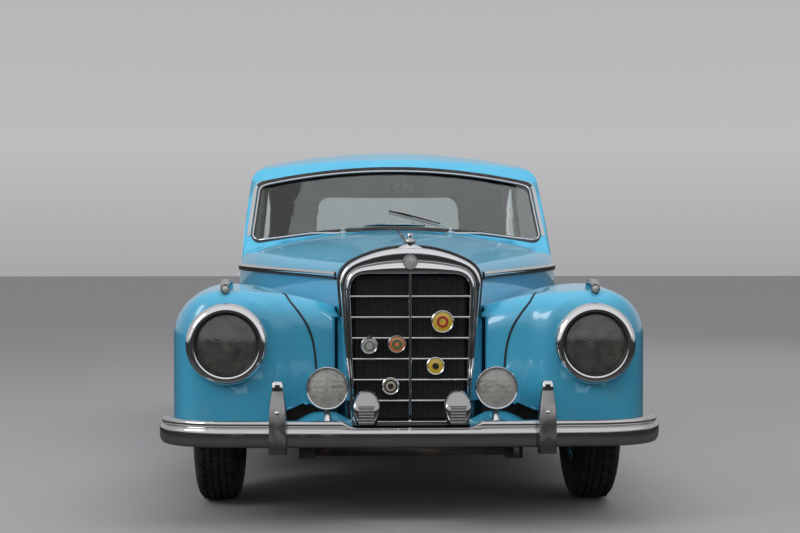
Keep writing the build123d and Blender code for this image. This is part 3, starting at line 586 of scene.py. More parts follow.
def turned_pair(name, profile, centre, axis, count, material, *nodes):
    """A turned part and its mirror image as one piece."""
    return add(name, with_mirror(lathe(profile, centre, axis, count)), material, *nodes)


def box_part(low, high):
    """Vertices and faces of a box between two corners."""
    corners = [(x, y, z) for x in (low[0], high[0]) for y in (low[1], high[1]) for z in (low[2], high[2])]
    faces = [(0, 1, 3, 2), (4, 6, 7, 5), (0, 4, 5, 1), (2, 3, 7, 6), (0, 2, 6, 4), (1, 5, 7, 3)]
    return [Vector(c) for c in corners], faces


def softened(piece, width, segments=2, angle=35):
    """A live bevel that rounds the sharp edges of a piece."""
    bevel = piece.modifiers.new("edge_round", "BEVEL")
    bevel.width = width
    bevel.segments = segments
    bevel.limit_method = "ANGLE"
    bevel.angle_limit = radians(angle)
    bevel.harden_normals = False
    return piece


def thickened(piece, thickness):
    """An open sheet given a thickness, inwards."""
    wall = piece.modifiers.new("sheet", "SOLIDIFY")
    wall.thickness = thickness
    wall.offset = -1
    return piece


def surface_of(*nodes):
    """A search tree of the solids' faces, to place trim on them."""
    verts = []
    faces = []
    for node in nodes:
        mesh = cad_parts[node].data
        start = len(verts)
        verts.extend(v.co.copy() for v in mesh.vertices)
        faces.extend(tuple(start + i for i in p.vertices) for p in mesh.polygons)
    return BVHTree.FromPolygons(verts, faces)


def cast(surface, start, direction):
    hit, normal, _, _ = surface.ray_cast(Vector(start), Vector(direction).normalized())
    return hit, normal


def sight_line(px, py):
    """Direction from the camera through a pixel of the photograph."""
    right = (px - photo_width / 2) / photo_focal
    down = (py - photo_height / 2) / photo_focal
    return (camera_turn.to_matrix() @ Vector((right, -down, -1))).normalized()


def seen_at(surface, px, py):
    """Where the camera sees a surface at a pixel of the photograph."""
    return cast(surface, camera_place, sight_line(px, py))


# Geometry Nodes that repeat a unit in a line or a ring

def new_tree(name, inputs):
    tree = bpy.data.node_groups.new(name, "GeometryNodeTree")
    tree.interface.new_socket("Unit", in_out="INPUT", socket_type="NodeSocketGeometry")
    for label, kind in inputs:
        tree.interface.new_socket(label, in_out="INPUT", socket_type=kind)
    tree.interface.new_socket("Copies", in_out="OUTPUT", socket_type="NodeSocketGeometry")
    return tree


def end_tree(tree, instances, group_in):
    """Realize the copies and give them their material."""
    realize = tree.nodes.new("GeometryNodeRealizeInstances")
    paint = tree.nodes.new("GeometryNodeSetMaterial")
    group_out = tree.nodes.new("NodeGroupOutput")
    wire(
        tree,
        (instances, realize.inputs["Geometry"]),
        (realize.outputs["Geometry"], paint.inputs["Geometry"]),
        (group_in.outputs["Finish"], paint.inputs["Material"]),
        (paint.outputs["Geometry"], group_out.inputs["Copies"]),
    )


def make_row_tree():
    tree = new_tree(
        "row_of_copies",
        [
            ("Count", "NodeSocketInt"), ("First", "NodeSocketVector"), ("Step", "NodeSocketVector"),
            ("Finish", "NodeSocketMaterial"),
        ],
    )
    group_in = tree.nodes.new("NodeGroupInput")
    line = tree.nodes.new("GeometryNodeMeshLine")
    place = tree.nodes.new("GeometryNodeInstanceOnPoints")
    wire(
        tree,
        (group_in.outputs["Count"], line.inputs["Count"]),
        (group_in.outputs["First"], line.inputs["Start Location"]),
        (group_in.outputs["Step"], line.inputs["Offset"]),
        (line.outputs["Mesh"], place.inputs["Points"]),
        (group_in.outputs["Unit"], place.inputs["Instance"]),
    )
    end_tree(tree, place.outputs["Instances"], group_in)
    return tree


def make_ring_tree():
    tree = new_tree(
        "ring_of_copies",
        [
            ("Count", "NodeSocketInt"), ("Centre", "NodeSocketVector"), ("Axis", "NodeSocketVector"),
            ("Finish", "NodeSocketMaterial"),
        ],
    )
    group_in = tree.nodes.new("NodeGroupInput")
    points = tree.nodes.new("GeometryNodePoints")
    index = tree.nodes.new("GeometryNodeInputIndex")
    share = tree.nodes.new("ShaderNodeMath")
    share.operation = "DIVIDE"
    turn = tree.nodes.new("ShaderNodeMath")
    turn.operation = "MULTIPLY"
    turn.inputs[1].default_value = 2 * pi
    rotate = tree.nodes.new("FunctionNodeAxisAngleToRotation")
    place = tree.nodes.new("GeometryNodeInstanceOnPoints")
    wire(
        tree,
        (group_in.outputs["Count"], points.inputs["Count"]),
        (group_in.outputs["Centre"], points.inputs["Position"]),
        (index.outputs["Index"], share.inputs[0]),
        (group_in.outputs["Count"], share.inputs[1]),
        (share.outputs[0], turn.inputs[0]),
        (group_in.outputs["Axis"], rotate.inputs["Axis"]),
        (turn.outputs[0], rotate.inputs["Angle"]),
        (points.outputs["Points"], place.inputs["Points"]),
        (group_in.outputs["Unit"], place.inputs["Instance"]),
        (rotate.outputs["Rotation"], place.inputs["Rotation"]),
    )
    end_tree(tree, place.outputs["Instances"], group_in)
    return tree


row_tree = make_row_tree()
ring_tree = make_ring_tree()


def repeated(name, unit, tree, material, crease=38, **values):
    """The unit repeated by a tree whose inputs are set by identifier, as a plain mesh piece."""
    source = new_piece(name + "_unit", *unit, material, crease)
    modifier = source.modifiers.new("copies", "NODES")
    modifier.node_group = tree
    values["Finish"] = material
    for item in tree.interface.items_tree:
        if item.in_out == "INPUT" and item.name in values:
            modifier[item.identifier] = values[item.name]
    mesh = bpy.data.meshes.new_from_object(evaluated(source))
    source.modifiers.remove(modifier)
    bpy.data.objects.remove(source)
    mesh.name = name
    piece = put_in_scene(name, mesh)
    shade_smooth(piece, crease)
    return piece


# The studio: a floor that the camera sees pale and the car mirrors dark, as a painted dark reflection; a
# pale world, soft lamps and the camera at the photograph's place

def backdrop_seen(tree):
    """1 where the camera sees the surroundings, straight or through glass."""
    path = tree.nodes.new("ShaderNodeLightPath")
    return combined(tree, "MAXIMUM", path.outputs["Is Camera Ray"], path.outputs["Is Transmission Ray"])


# Tones of the world from straight down to straight up: what is seen, and what the car mirrors
plain_backdrop = ((0.0, 0.34), (0.49, 0.46), (0.53, 0.60), (0.62, 0.52), (1.0, 0.75))
mirrored_sky = (
    (0.0, 0.10), (0.47, 0.07), (0.502, 0.07), (0.520, 0.50), (0.560, 1.05), (0.70, 0.90), (1.0, 0.95),
)
# Name, place, size and power of each lamp
studio_lamps = (
    ("soft_top", (0.6, -1.2, 5.2), 5.0, 155),
    ("soft_left", (-5.5, -5.0, 4.2), 3.0, 140),
    ("soft_rear", (4.5, 6.0, 4.5), 3.5, 60),
)


def make_studio():
    """The world, the floor, three lamps and the camera."""
    scene = bpy.context.scene
    scene.view_settings.view_transform = "Standard"
    world = bpy.data.worlds.new("pale_studio")
    scene.world = world
    world.use_nodes = True
    tree = world.node_tree
    coords = tree.nodes.new("ShaderNodeTexCoord")
    split = tree.nodes.new("ShaderNodeSeparateXYZ")
    remap = tree.nodes.new("ShaderNodeMapRange")
    remap.inputs["From Min"].default_value = -1
    tree.links.new(coords.outputs["Generated"], split.inputs[0])
    tree.links.new(split.outputs["Z"], remap.inputs["Value"])
    ramps = []
    for stops in (plain_backdrop, mirrored_sky):
        ramp = tree.nodes.new("ShaderNodeValToRGB")
        tree.links.new(remap.outputs["Result"], ramp.inputs["Fac"])
        marks = ramp.color_ramp.elements
        for mark, (place, tone) in zip((marks[0], marks[1]), (stops[0], stops[-1])):
            mark.position = place
            mark.color = (tone, tone, tone * 1.02, 1)
        for place, tone in stops[1:-1]:
            marks.new(place).color = (tone, tone, tone * 1.02, 1)
        ramps.append(ramp)
    choose = tree.nodes.new("ShaderNodeMix")
    choose.data_type = "RGBA"
    behind = tree.nodes.new("ShaderNodeMapRange")
    behind.interpolation_type = "SMOOTHSTEP"
    behind.inputs["From Min"].default_value = -0.20
    behind.inputs["From Max"].default_value = 0.15
    tree.links.new(split.outputs["Y"], behind.inputs["Value"])
    plain = combined(tree, "MAXIMUM", behind.outputs["Result"], backdrop_seen(tree))
    tree.links.new(plain, choose.inputs[0])
    backdrop, sky = ramps
    tree.links.new(sky.outputs["Color"], choose.inputs[6])
    tree.links.new(backdrop.outputs["Color"], choose.inputs[7])
    tree.links.new(choose.outputs[2], tree.nodes["Background"].inputs["Color"])
    tree.nodes["Background"].inputs["Strength"].default_value = 0.85

    # Painted dark reflection: the floor that the car mirrors, and that bounces light under it, is near
    # black; only the camera and glass see it pale.
    floor_finish = new_finish("floor_pale_seen_dark_mirrored", (0.06, 0.059, 0.058), 0.9, Specular_IOR_Level=0.05)
    tree = floor_finish.node_tree
    away = tree.nodes.new("ShaderNodeVectorMath")
    away.operation = "LENGTH"
    tree.links.new(object_place(floor_finish, (1, 0.75, 1)), away.inputs[0])
    # Further than 2.2 m from the car the mirrored floor is darker still, a painted dark band in the
    # chrome's reflections.
    lay_colour(floor_finish, between(floor_finish, away.outputs["Value"], 2.2, 3.6), (0.022, 0.022, 0.022))
    lay_colour(floor_finish, backdrop_seen(tree), (0.315, 0.31, 0.315))
    reach = 40
    floor_places = ((-reach, -reach, 0), (reach, -reach, 0), (reach, reach, 0), (-reach, reach, 0))
    new_piece("studio_floor", floor_places, [(0, 1, 2, 3)], floor_finish)

    for name, place, size, power in studio_lamps:
        light = bpy.data.lights.new(name, "AREA")
        light.shape = "DISK"
        light.size = size
        light.energy = power
        lamp = put_in_scene(name, light)
        lamp.visible_glossy = name == "soft_left"
        lamp.location = place
        lamp.rotation_euler = (Vector((0, 0, 0.6)) - Vector(place)).to_track_quat("-Z", "Y").to_euler()

    camera_data = bpy.data.cameras.new("photo_camera")
    camera_data.sensor_width = sensor_width
    camera_data.lens = photo_focal * sensor_width / photo_width
    camera = put_in_scene("photo_camera", camera_data)
    camera.location = camera_place
    camera.rotation_euler = camera_turn
    scene.camera = camera


# Painted panels, glass and structure that keep the solids' own shapes

def make_panel(node, body, slot, material, crease=30, drop_before=None):
    """A merged, smooth copy of a solid's loose triangles, without what lies before a given Y."""
    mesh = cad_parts[node].data.copy()
    built = bmesh.new()
    built.from_mesh(mesh)
    bmesh.ops.remove_doubles(built, verts=built.verts, dist=2e-5)
    dropped = [v for v in built.verts if drop_before is not None and v.co.y < drop_before]
    bmesh.ops.delete(built, geom=dropped, context="VERTS")
    built.to_mesh(mesh)
    built.free()
    mesh.materials.clear()
    mesh.materials.append(material)
    piece = put_in_scene(node + "_finished", mesh)
    shade_smooth(piece, crease)
    normals = piece.modifiers.new("even_shading", "WEIGHTED_NORMAL")
    normals.keep_sharp = True
    return fasten(piece, body, slot, node)


def make_panels():
    """Every solid that keeps its own shape, with its finish."""
    car = "car_body"
    for node, body in (
        ("body_shell", car),
        ("roof", car),
        ("bonnet", "bonnet_body"),
        ("boot_lid", "boot_lid_body"),
        ("door_left", "door_left_body"),
        ("door_right", "door_right_body"),
    ):
        make_panel(node, body, "body_paint", body_paint, crease=50 if node in ("roof", "boot_lid") else 30)
    make_panel("bay_sides", car, "body_paint", body_paint, drop_before=bay_front_y)
    for node, body in (
        ("windscreen", car),
        ("rear_glass", car),
        ("door_glass_left", "door_left_body"),
        ("door_glass_right", "door_right_body"),
    ):
        make_panel(node, body, "clear_glass", rear_window_glass if node == "rear_glass" else window_glass)
    for node, slot, material in (
        ("windscreen_frame", "chrome_plate", seal_rubber),
        ("frame_members", "chassis_black", chassis_black),
        ("front_suspension", "chassis_black", chassis_black),
        ("rear_axle", "chassis_black", chassis_black),
        ("fuel_tank", "chassis_black", chassis_black),
        ("floor_pan", "floor_black", carpet),
        ("engine_block", "cast_block", cast_iron),
        ("exhaust", "exhaust_steel", exhaust_steel),
        ("tow_eyes", "axle_steel", axle_steel),
    ):
        make_panel(node, car, slot, material)
    for side in ("left", "right"):
        make_panel(f"knuckle_{side}", f"steer_{side}_body", "axle_steel", axle_steel)


# Wings, built from the same stations as the solids and with a rounded nose

# Columns: y, inner x, outer x, inner z, crown z, foot z, shoulder radius
front_wing_rows = [
    (-2.190, 0.262, 0.868, 0.795, 0.853, 0.350, 0.165),
    (-2.060, 0.262, 0.875, 0.795, 0.857, 0.305, 0.175),
    (-1.900, 0.262, 0.891, 0.775, 0.862, 0.300, 0.185),
    (-1.570, 0.330, 0.905, 0.750, 0.866, 0.296, 0.200),
    (-1.000, 0.400, 0.900, 0.760, 0.822, 0.296, 0.200),
    (-0.432, 0.560, 0.886, 0.690, 0.738, 0.296, 0.170),
    (0.200, 0.640, 0.868, 0.580, 0.615, 0.296, 0.120),
]
rear_wing_rows = [
    (0.700, 0.690, 0.862, 0.560, 0.590, 0.296, 0.070),
    (0.900, 0.640, 0.902, 0.730, 0.775, 0.296, 0.150),
    (1.330, 0.480, 0.930, 0.760, 0.868, 0.296, 0.220),
    (1.760, 0.430, 0.926, 0.700, 0.836, 0.300, 0.220),
    (2.060, 0.380, 0.900, 0.600, 0.760, 0.320, 0.200),
    (2.262, 0.420, 0.880, 0.560, 0.720, 0.350, 0.170),
]

# Half width of the body between the wings: y, at the belt, at the foot
hull_rows = [
    (-2.050, 0.262, 0.225),
    (-1.310, 0.515, 0.480),
    (-0.562, 0.735, 0.715),
    (0.130, 0.752, 0.765),
    (0.900, 0.745, 0.755),
    (1.450, 0.700, 0.690),
    (1.900, 0.590, 0.590),
    (2.240, 0.470, 0.470),
]


def row_at(rows, y):
    """Every column at a place between the stations, by a smooth curve through them."""
    if y <= rows[0][0]:
        return rows[0]
    for k in range(len(rows) - 1):
        if y <= rows[k + 1][0]:
            break
    r1, r2 = np.array(rows[k]), np.array(rows[k + 1])
    span = r2[0] - r1[0]
    slope_1 = (r2 - np.array(rows[k - 1])) / (r2[0] - rows[k - 1][0]) if k else (r2 - r1) / span
    slope_2 = (r2 - r1) / span
    if k + 2 < len(rows):
        slope_2 = (np.array(rows[k + 2]) - r1) / (rows[k + 2][0] - r1[0])
    t = (y - r1[0]) / span
    h1 = 2 * t ** 3 - 3 * t ** 2 + 1
    h2 = t ** 3 - 2 * t ** 2 + t
    h3 = -2 * t ** 3 + 3 * t ** 2
    h4 = t ** 3 - t ** 2
    return h1 * r1 + h2 * span * slope_1 + h3 * r2 + h4 * span * slope_2


def resampled(points, count):
    """The same line with evenly spaced points."""
    points = [Vector(p) for p in points]
    runs = [0.0]
    for a, b in zip(points, points[1:]):
        runs.append(runs[-1] + (b - a).length)
    out = []
    k = 0
    for i in range(count):
        target = runs[-1] * i / (count - 1)
        while k < len(runs) - 2 and runs[k + 1] < target:
            k += 1
        width = runs[k + 1] - runs[k]
        t = (target - runs[k]) / width if width > 1e-9 else 0
        out.append(points[k].lerp(points[k + 1], t))
    return out


# How far a wing's end is rounded along the car, from the side and from the crown
end_depth = 0.16
end_side = 0.074
end_crown = 0.042
# Steps of the cap that closes the end, as shares of its height
end_shares = (0.02, 0.05, 0.09, 0.14, 0.20, 0.27, 0.35, 0.44, 0.54, 0.64, 0.74, 0.84, 0.93, 1.0)


def wing_ring(rows, y, end_y, sign, arch_y, arch_radius, count):
    """One wing's outline at a station: up the side, over the shoulder and crown, to the body."""
    _, inner, outer, inner_z, crown, foot, radius = row_at(rows, y)
    round_nose = sign > 0
    reach = 1.0 if round_nose else min(1.0, max(0.0, sign * (y - end_y) / end_depth))
    shrink = 1 - sqrt(max(0.0, 1 - (1 - reach) ** 2))
    outer -= end_side * shrink
    crown -= end_crown * shrink
    foot += 0.5 * end_crown * shrink
    radius = max(0.05, radius - 0.03 * shrink)
    top_x = outer - radius
    side_z = crown - radius
    run = top_x - inner
    fall = max(0.01, crown - inner_z)
    sweep_radius = (run * run + fall * fall) / (2 * fall)
    turn = asin(min(1.0, run / sweep_radius))
    line = [(outer, foot + (side_z - foot) * i / 24) for i in range(25)]
    line += [
        (top_x + radius * cos(a), side_z + radius * sin(a)) for a in (i * pi / 40 for i in range(1, 21))
    ]
    line += [
        (top_x - sweep_radius * sin(a), crown - sweep_radius * (1 - cos(a)))
        for a in (turn * i / 24 for i in range(1, 25))
    ]
    _, belt_half, foot_half = row_at(hull_rows, y)
    body_x = foot_half + (belt_half - foot_half) * 0.75 - 0.014
    if body_x > inner or round_nose:
        line = [p for p in line if p[0] > max(body_x, inner)]
    else:
        line += [(inner, inner_z + (foot - inner_z) * i / 16) for i in range(1, 17)]
    away = y - arch_y
    if abs(away) < arch_radius:
        arch_z = tyre_radius + sqrt(arch_radius ** 2 - away ** 2)
        line = [p for p in line if p[1] > arch_z or p[0] < 0.6]
        line.insert(0, (line[0][0], arch_z))
    return [Vector((p.x, y, p.y)) for p in resampled([Vector(p) for p in line], count)]


def wing_stations(first, last, arch_y, arch_radius, end_y, sign):
    """Stations that crowd at the rounded end and round the wheel arch."""
    ys = {first, last}
    for i in range(1, 13):
        ys.add(end_y + sign * end_depth * (1 - cos(i * pi / 24)))
    for i in range(1, 28):
        ys.add(arch_y - arch_radius * cos(i * pi / 28))
    ys.add(arch_y - arch_radius)
    ys.add(arch_y + arch_radius)
    gap = 0.05
    y = first
    while y < last:
        if all(abs(y - other) > gap * 0.5 for other in ys):
            ys.add(y)
        y += gap
    return sorted(y for y in ys if first <= y <= last)


def make_wing(name, rows, first, last, arch_y, arch_radius, end_y, sign, count, node):
    """A pair of wings as thin sheet; the end is in front where the sign is 1 and behind where it is -1."""
    ys = wing_stations(first, last, arch_y, arch_radius, end_y, sign)
    rings = [wing_ring(rows, y, end_y, sign, arch_y, arch_radius, count) for y in ys]
    end_ring = rings[0] if sign > 0 else rings[-1]
    foot_z = min(p.z for p in end_ring)
    feet = [end_ring[0].lerp(end_ring[-1], i / (count - 1)) for i in range(count)]
    caps = []
    for share in end_shares:
        caps.append([p.lerp(Vector((foot.x, p.y, foot_z)), share) for p, foot in zip(end_ring, feet)])
    if sign > 0:
        rings = [[on_front_wing(p) for p in ring] for ring in caps[::-1] + rings]
    else:
        rings = rings + caps
    verts, faces = skin(rings, closed=False)
    if sign > 0:
        middles = [sum((verts[i] for i in face), Vector()) / len(face) for face in faces]
        faces = [face for face, middle in zip(faces, middles) if not in_lamp_hole(middle)]
    piece = add(name, with_mirror((verts, faces)), body_paint, node, crease=50)
    return thickened(piece, 0.010)


def smooth_step(value, low, high):
    """0 below low and 1 above high, with a smooth change between them."""
    t = min(1.0, max(0.0, (value - low) / (high - low)))
    return t * t * (3 - 2 * t)


def round_join(a, b, radius):
    """Signed distance outside two faces whose shared edge is rounded."""
    u, v = a + radius, b + radius
    if u > 0 and v > 0:
        return sqrt(u * u + v * v) - radius
    return max(a, b)


def nose_face(x, z):
    """Y of the wing's front at a place: a curve in plan with the lamp's pod standing forward."""
    plan = -2.158 + 0.83 * max(0.0, 0.60 - x) ** 2 + 1.2 * max(0.0, x - 0.72) ** 2
    away = hypot((x - lamp_x) / 0.185, max(0.0, z - 0.69) / 0.175)
    return plan - 0.032 * (1 - smooth_step(away, 0.88, 1.30))


def outside_front_wing(x, y, z):
    """Signed distance from the front wing's rounded form."""
    _, inner, outer, inner_z, crown, _, radius = row_at(front_wing_rows, y)
    top_x = outer - radius
    run = top_x - inner
    fall = crown - inner_z
    sweep_radius = (run * run + fall * fall) / (2 * fall)
    drop = sweep_radius - sqrt(max(0.0, sweep_radius ** 2 - min(run, max(0.0, top_x - x)) ** 2))
    section = round_join(z - (crown - drop), x - outer, radius)
    edge = 0.080 + 0.020 * smooth_step(-x, -0.55, -0.40) + 0.030 * smooth_step(x, 0.74, 0.86)
    return round_join(section, nose_face(x, z) - y, edge)


def on_front_wing(point):
    """The nearest place on the rounded form, for points near the nose."""
    if point.y > -1.80:
        return point
    x, y, z = point
    step = 0.001
    for _ in range(5):
        away = outside_front_wing(x, y, z)
        slope = [
            (outside_front_wing(x + step, y, z) - away) / step * smooth_step(x, 0.55, 0.72),
            (outside_front_wing(x, y + step, z) - away) / step,
            (outside_front_wing(x, y, z + step) - away) / step,
        ]
        steepness = max(0.25, sum(c * c for c in slope))
        x -= away * slope[0] / steepness
        y -= away * slope[1] / steepness
        z -= away * slope[2] / steepness
    foot = 0.350 + 0.066 * smooth_step(-x, -0.520, -0.465) + 0.028 * smooth_step(-x, -0.465, -0.375)
    if y < -2.02:
        z = max(z, foot)
    return Vector((max(x, wing_inner_x), y, z))


def in_lamp_hole(place):
    """Whether a face of the wing lies where the headlamp sits."""
    return place.y < -2.12 and hypot(place.x - lamp_x, place.z - lamp_z) < lamp_hole_radius


def make_wings():
    """The front wings and the rear wings, and the piping in the front wings' seam."""
    make_wing(
        "front_wing_shells", front_wing_rows, nose_y, -0.438, front_axle_y, front_arch_radius, nose_y, 1,
        84, "front_wings",
    )
    make_wing(
        "rear_wing_shells", rear_wing_rows, 0.702, rear_end_y, rear_axle_y, rear_arch_radius, rear_end_y,
        -1, 60, "rear_wings",
    )
    seam_places = (
        (0.474, -2.040, 0.806), (0.446, -2.085, 0.796), (0.418, -2.105, 0.776), (0.388, -2.118, 0.740),
        (0.366, -2.120, 0.690), (0.354, -2.115, 0.635), (0.348, -2.110, 0.570), (0.343, -2.105, 0.500),
        (0.340, -2.105, 0.445),
    )
    path = [on_front_wing(Vector(p)) for p in curve_through(seam_places, 6)]
    bead = tube(path, 0.0042, 8, up=Vector(leftward))
    add("wing_piping", with_mirror(bead), seal_rubber)


def make_radiator_sides():
    """Body-colour panels between the wings' inner edges and the radiator shell, and a dark plate behind
    each gap under a wing's nose as painted shade.
    """
    rings = []
    for k in range(23):
        z = 0.385 + (0.800 - 0.385) * k / 22
        edge = on_front_wing(Vector((wing_inner_x, -2.10, z)))
        shell_x = 0.218 + 0.044 * (z - 0.352) / 0.528
        line = curve_through([
            edge + Vector((0.004, 0.004, 0)),
            edge + Vector((-0.006, 0.014, 0)),
            Vector((shell_x + 0.002, -2.066, edge.z)),
            Vector((shell_x - 0.016, -2.046, edge.z)),
        ], 5)
        behind = [p + Vector((0.002, 0.004, 0)) for p in reversed(line)]
        rings.append(line + behind)
    panel = capped(rings)
    add("radiator_side_panels", with_mirror(panel), body_paint, crease=60)
    # Painted shade: a near-black plate behind the gap between wing and apron, standing in for the shade
    # seen there.
    shield = box_part((0.268, -2.034, 0.330), (0.560, -2.030, 0.500))
    add("splash_shields", with_mirror(shield), chassis_black)


def make_apron():
    """Curved sheet under each wing's nose, which carries the fog lamp."""
    rings = []
    for k in range(15):
        x = 0.216 + (0.500 - 0.216) * k / 14
        top = 0.402 - 0.052 * smooth_step(x, 0.345, 0.480) - 0.030 * smooth_step(-x, -0.290, -0.216)
        line = curve_through(
            [
                (-2.085, top, 0), (-2.140, top - 0.003, 0), (-2.195, top - 0.016, 0),
                (-2.232, top - 0.040, 0), (-2.238, 0.312, 0),
            ],
            6,
        )
        rings.append([Vector((x, p.x, p.y)) for p in line])
    verts, faces = skin(rings, closed=False)
    thickened(add("front_apron", with_mirror((verts, faces)), body_paint, crease=60), 0.004)


# Headlamps, fog lamps, horns and small lamps

def lens_rings(centre, tip_y, radius, bulge, steps, count, flutes):
    """Rings of a domed lens with pressed flutes, from its tip outwards."""
    x, y, z = centre
    rings = [[Vector((x, tip_y, z))]]
    for k in range(1, steps + 1):
        share = k / steps
        ring = []
        for dx, dz in circle(radius * k / steps, count):
            ring.append(Vector((x + dx, y - bulge * (1 - share ** 2) - flutes(dx, dz), z + dz)))
        rings.append(ring)
    return rings


def headlamp_flutes(x, _):
    """Depth of the headlamp glass's upright flutes."""
    return 0.0010 * abs(sin(x * pi / 0.0125))


def make_headlamps():
    """Rims, gaskets, reflectors, bulb shields, fluted glasses and screws of both headlamps."""
    face_y = nose_y - 0.0004
    ring = [
        (-0.016, 0.142), (-0.016, 0.149), (0.010, 0.1495), (0.022, 0.148), (0.034, 0.143), (0.043, 0.135),
        (0.0460, 0.126), (0.044, 0.118), (0.038, 0.1145), (0.022, 0.1130), (-0.016, 0.1125),
        (-0.016, 0.142),
    ]
    ring = [(-along, radius) for along, radius in ring]
    centre = (lamp_x, face_y, lamp_z)
    turned_pair("headlamp_rims", ring, centre, rearward, 96, chrome, "headlamp_bezels")

    gasket = [
        (-0.026, 0.1150), (-0.036, 0.1150), (-0.039, 0.1130), (-0.036, 0.1095), (-0.026, 0.1095),
        (-0.026, 0.1150),
    ]
    turned_pair("headlamp_gaskets", gasket, centre, rearward, 72, seal_rubber)
    bowl = [
        (0.055, 0.0), (0.053, 0.018), (0.044, 0.040), (0.028, 0.066), (0.004, 0.092), (-0.022, 0.112),
        (-0.022, 0.116), (0.008, 0.096), (0.034, 0.068), (0.050, 0.040), (0.058, 0.018), (0.060, 0.0),
    ]
    turned_pair("headlamp_reflectors", bowl, centre, rearward, 64, reflector_silver)
    shield = [(0.046, 0.0), (0.046, 0.012), (0.020, 0.014), (0.004, 0.019), (-0.006, 0.016), (-0.010, 0.0)]
    turned_pair("headlamp_bulb_shields", shield, centre, rearward, 32, aged_chrome)

    front = lens_rings(
        (lamp_x, face_y - 0.028, lamp_z), face_y - 0.048, 0.112, 0.020, 16, 120, headlamp_flutes,
    )
    back = [[Vector((p.x, p.y + 0.0045, p.z)) for p in ring] for ring in front][::-1]
    lens = skin(front + back)
    add("headlamp_glasses", with_mirror(lens), lens_glass, "headlamp_lenses", crease=25)

    screw = [(0, 0.0), (0, 0.0042), (-0.002, 0.0042), (-0.003, 0.0028), (-0.003, 0.0)]
    screw_place = (lamp_x, face_y - 0.022, lamp_z - 0.1475)
    turned_pair("headlamp_screws", screw, screw_place, (0, 0.6, 0.8), 12, aged_chrome)


def fog_flutes(x, z):
    """Depth of the fog glass's upright ribs and faint cross ribs."""
    return 0.0016 * abs(sin(x * pi / 0.0075)) + 0.0006 * abs(sin(z * pi / 0.02))


def make_fog_lamps():
    """Bowls, glasses, reflectors, stalks and rubber pads of both fog lamps."""
    fog_x, fog_z = 0.305, 0.508
    face_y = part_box("fog_lamps")[0].y
    centre = (fog_x, face_y, fog_z)
    shell = [
        (0.018, 0.066), (0.010, 0.068), (0.004, 0.0715), (0.003, 0.0745), (0.006, 0.0770), (0.014, 0.0780),
        (0.022, 0.0765), (0.026, 0.0735), (0.040, 0.0700), (0.060, 0.0610), (0.078, 0.0450),
        (0.090, 0.0250), (0.094, 0.0),
    ]
    turned_pair("fog_lamp_bowls", shell, centre, rearward, 72, chrome, "fog_lamps")
    front = lens_rings((fog_x, face_y + 0.012, fog_z), face_y + 0.002, 0.0675, 0.009, 12, 96, fog_flutes)
    back = [[Vector((p.x, face_y + 0.0155, p.z)) for p in ring] for ring in front][::-1]
    add("fog_lamp_glasses", with_mirror(skin(front + back)), fog_glass, crease=25)
    bowl = [
        (0.070, 0.0), (0.066, 0.020), (0.050, 0.044), (0.020, 0.066), (0.024, 0.068), (0.054, 0.046),
        (0.071, 0.020), (0.075, 0.0),
    ]
    turned_pair("fog_lamp_reflectors", bowl, centre, rearward, 48, reflector_silver)
    stalk_foot = (fog_x, -2.218, 0.368)
    stalk = [
        (0.008, 0.0), (0.008, 0.0165), (0.016, 0.0160), (0.026, 0.0140), (0.040, 0.0120), (0.058, 0.0115),
        (0.074, 0.0130), (0.078, 0.0),
    ]
    turned_pair("fog_lamp_stalks", stalk, stalk_foot, upward, 28, chrome)
    pad = [(-0.004, 0.0), (-0.004, 0.0270), (0.004, 0.0260), (0.009, 0.0215), (0.009, 0.0)]
    turned_pair("fog_lamp_pads", pad, stalk_foot, upward, 28, seal_rubber)


def make_horns():
    """Domed chrome covers with a louvred mouth."""
    horn_x, top_z, foot_z = 0.165, 0.499, 0.374
    low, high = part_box("horns")
    front_y, back_y = low.y, high.y
    rings = []
    rows = 22
    for k in range(rows + 1):
        t = k / rows
        z = foot_z + (top_z - foot_z) * t
        half = 0.038 + 0.012 * min(1.0, t / 0.5)
        if t > 0.5:
            half = 0.050 * sqrt(max(0.0, 1 - ((t - 0.5) / 0.5) ** 2)) + 0.0005
        depth = (back_y - front_y) * (0.80 + 0.20 * sin(pi * min(1.0, t * 1.3)))
        if t > 0.5:
            depth *= 0.25 + 0.75 * sqrt(max(0.0, 1 - ((t - 0.5) / 0.5) ** 2))
        corner = min(0.020, half * 0.8)
        outline = tapered(half, back_y, half, back_y - depth, corner, 5)
        rings.append([Vector((horn_x + p[0], p[1], z)) for p in outline])
    cover = capped(rings)
    add("horn_covers", with_mirror(cover), horn_chrome, "horns")
    lip = tapered(0.028, -0.0022, 0.028, 0.0022, 0.002, 3)
    bar = capped(
        [[Vector((p[0], y, p[1] - 0.003 * (y - 0.001) / 0.004)) for p in lip] for y in (-0.0045, 0.006)]
    )
    slot = box_part((-0.029, -0.0006, -0.0024), (0.029, 0.004, 0.0024))
    for name, unit, material, lift, slot_name in (
        ("horn_louvres", bar, dull_plate_enamel, 0.0, "chrome_plate"),
        ("horn_mouths", slot, seal_rubber, 0.0055, "tyre_rubber"),
    ):
        for side, label in both_sides:
            piece = repeated(
                f"{name}_{label}", unit, row_tree, material, Count=6,
                First=(side * horn_x, front_y + 0.003, foot_z + 0.010 + lift), Step=(0, -0.0004, 0.0105),
            )
            fasten(piece, "car_body", slot_name)


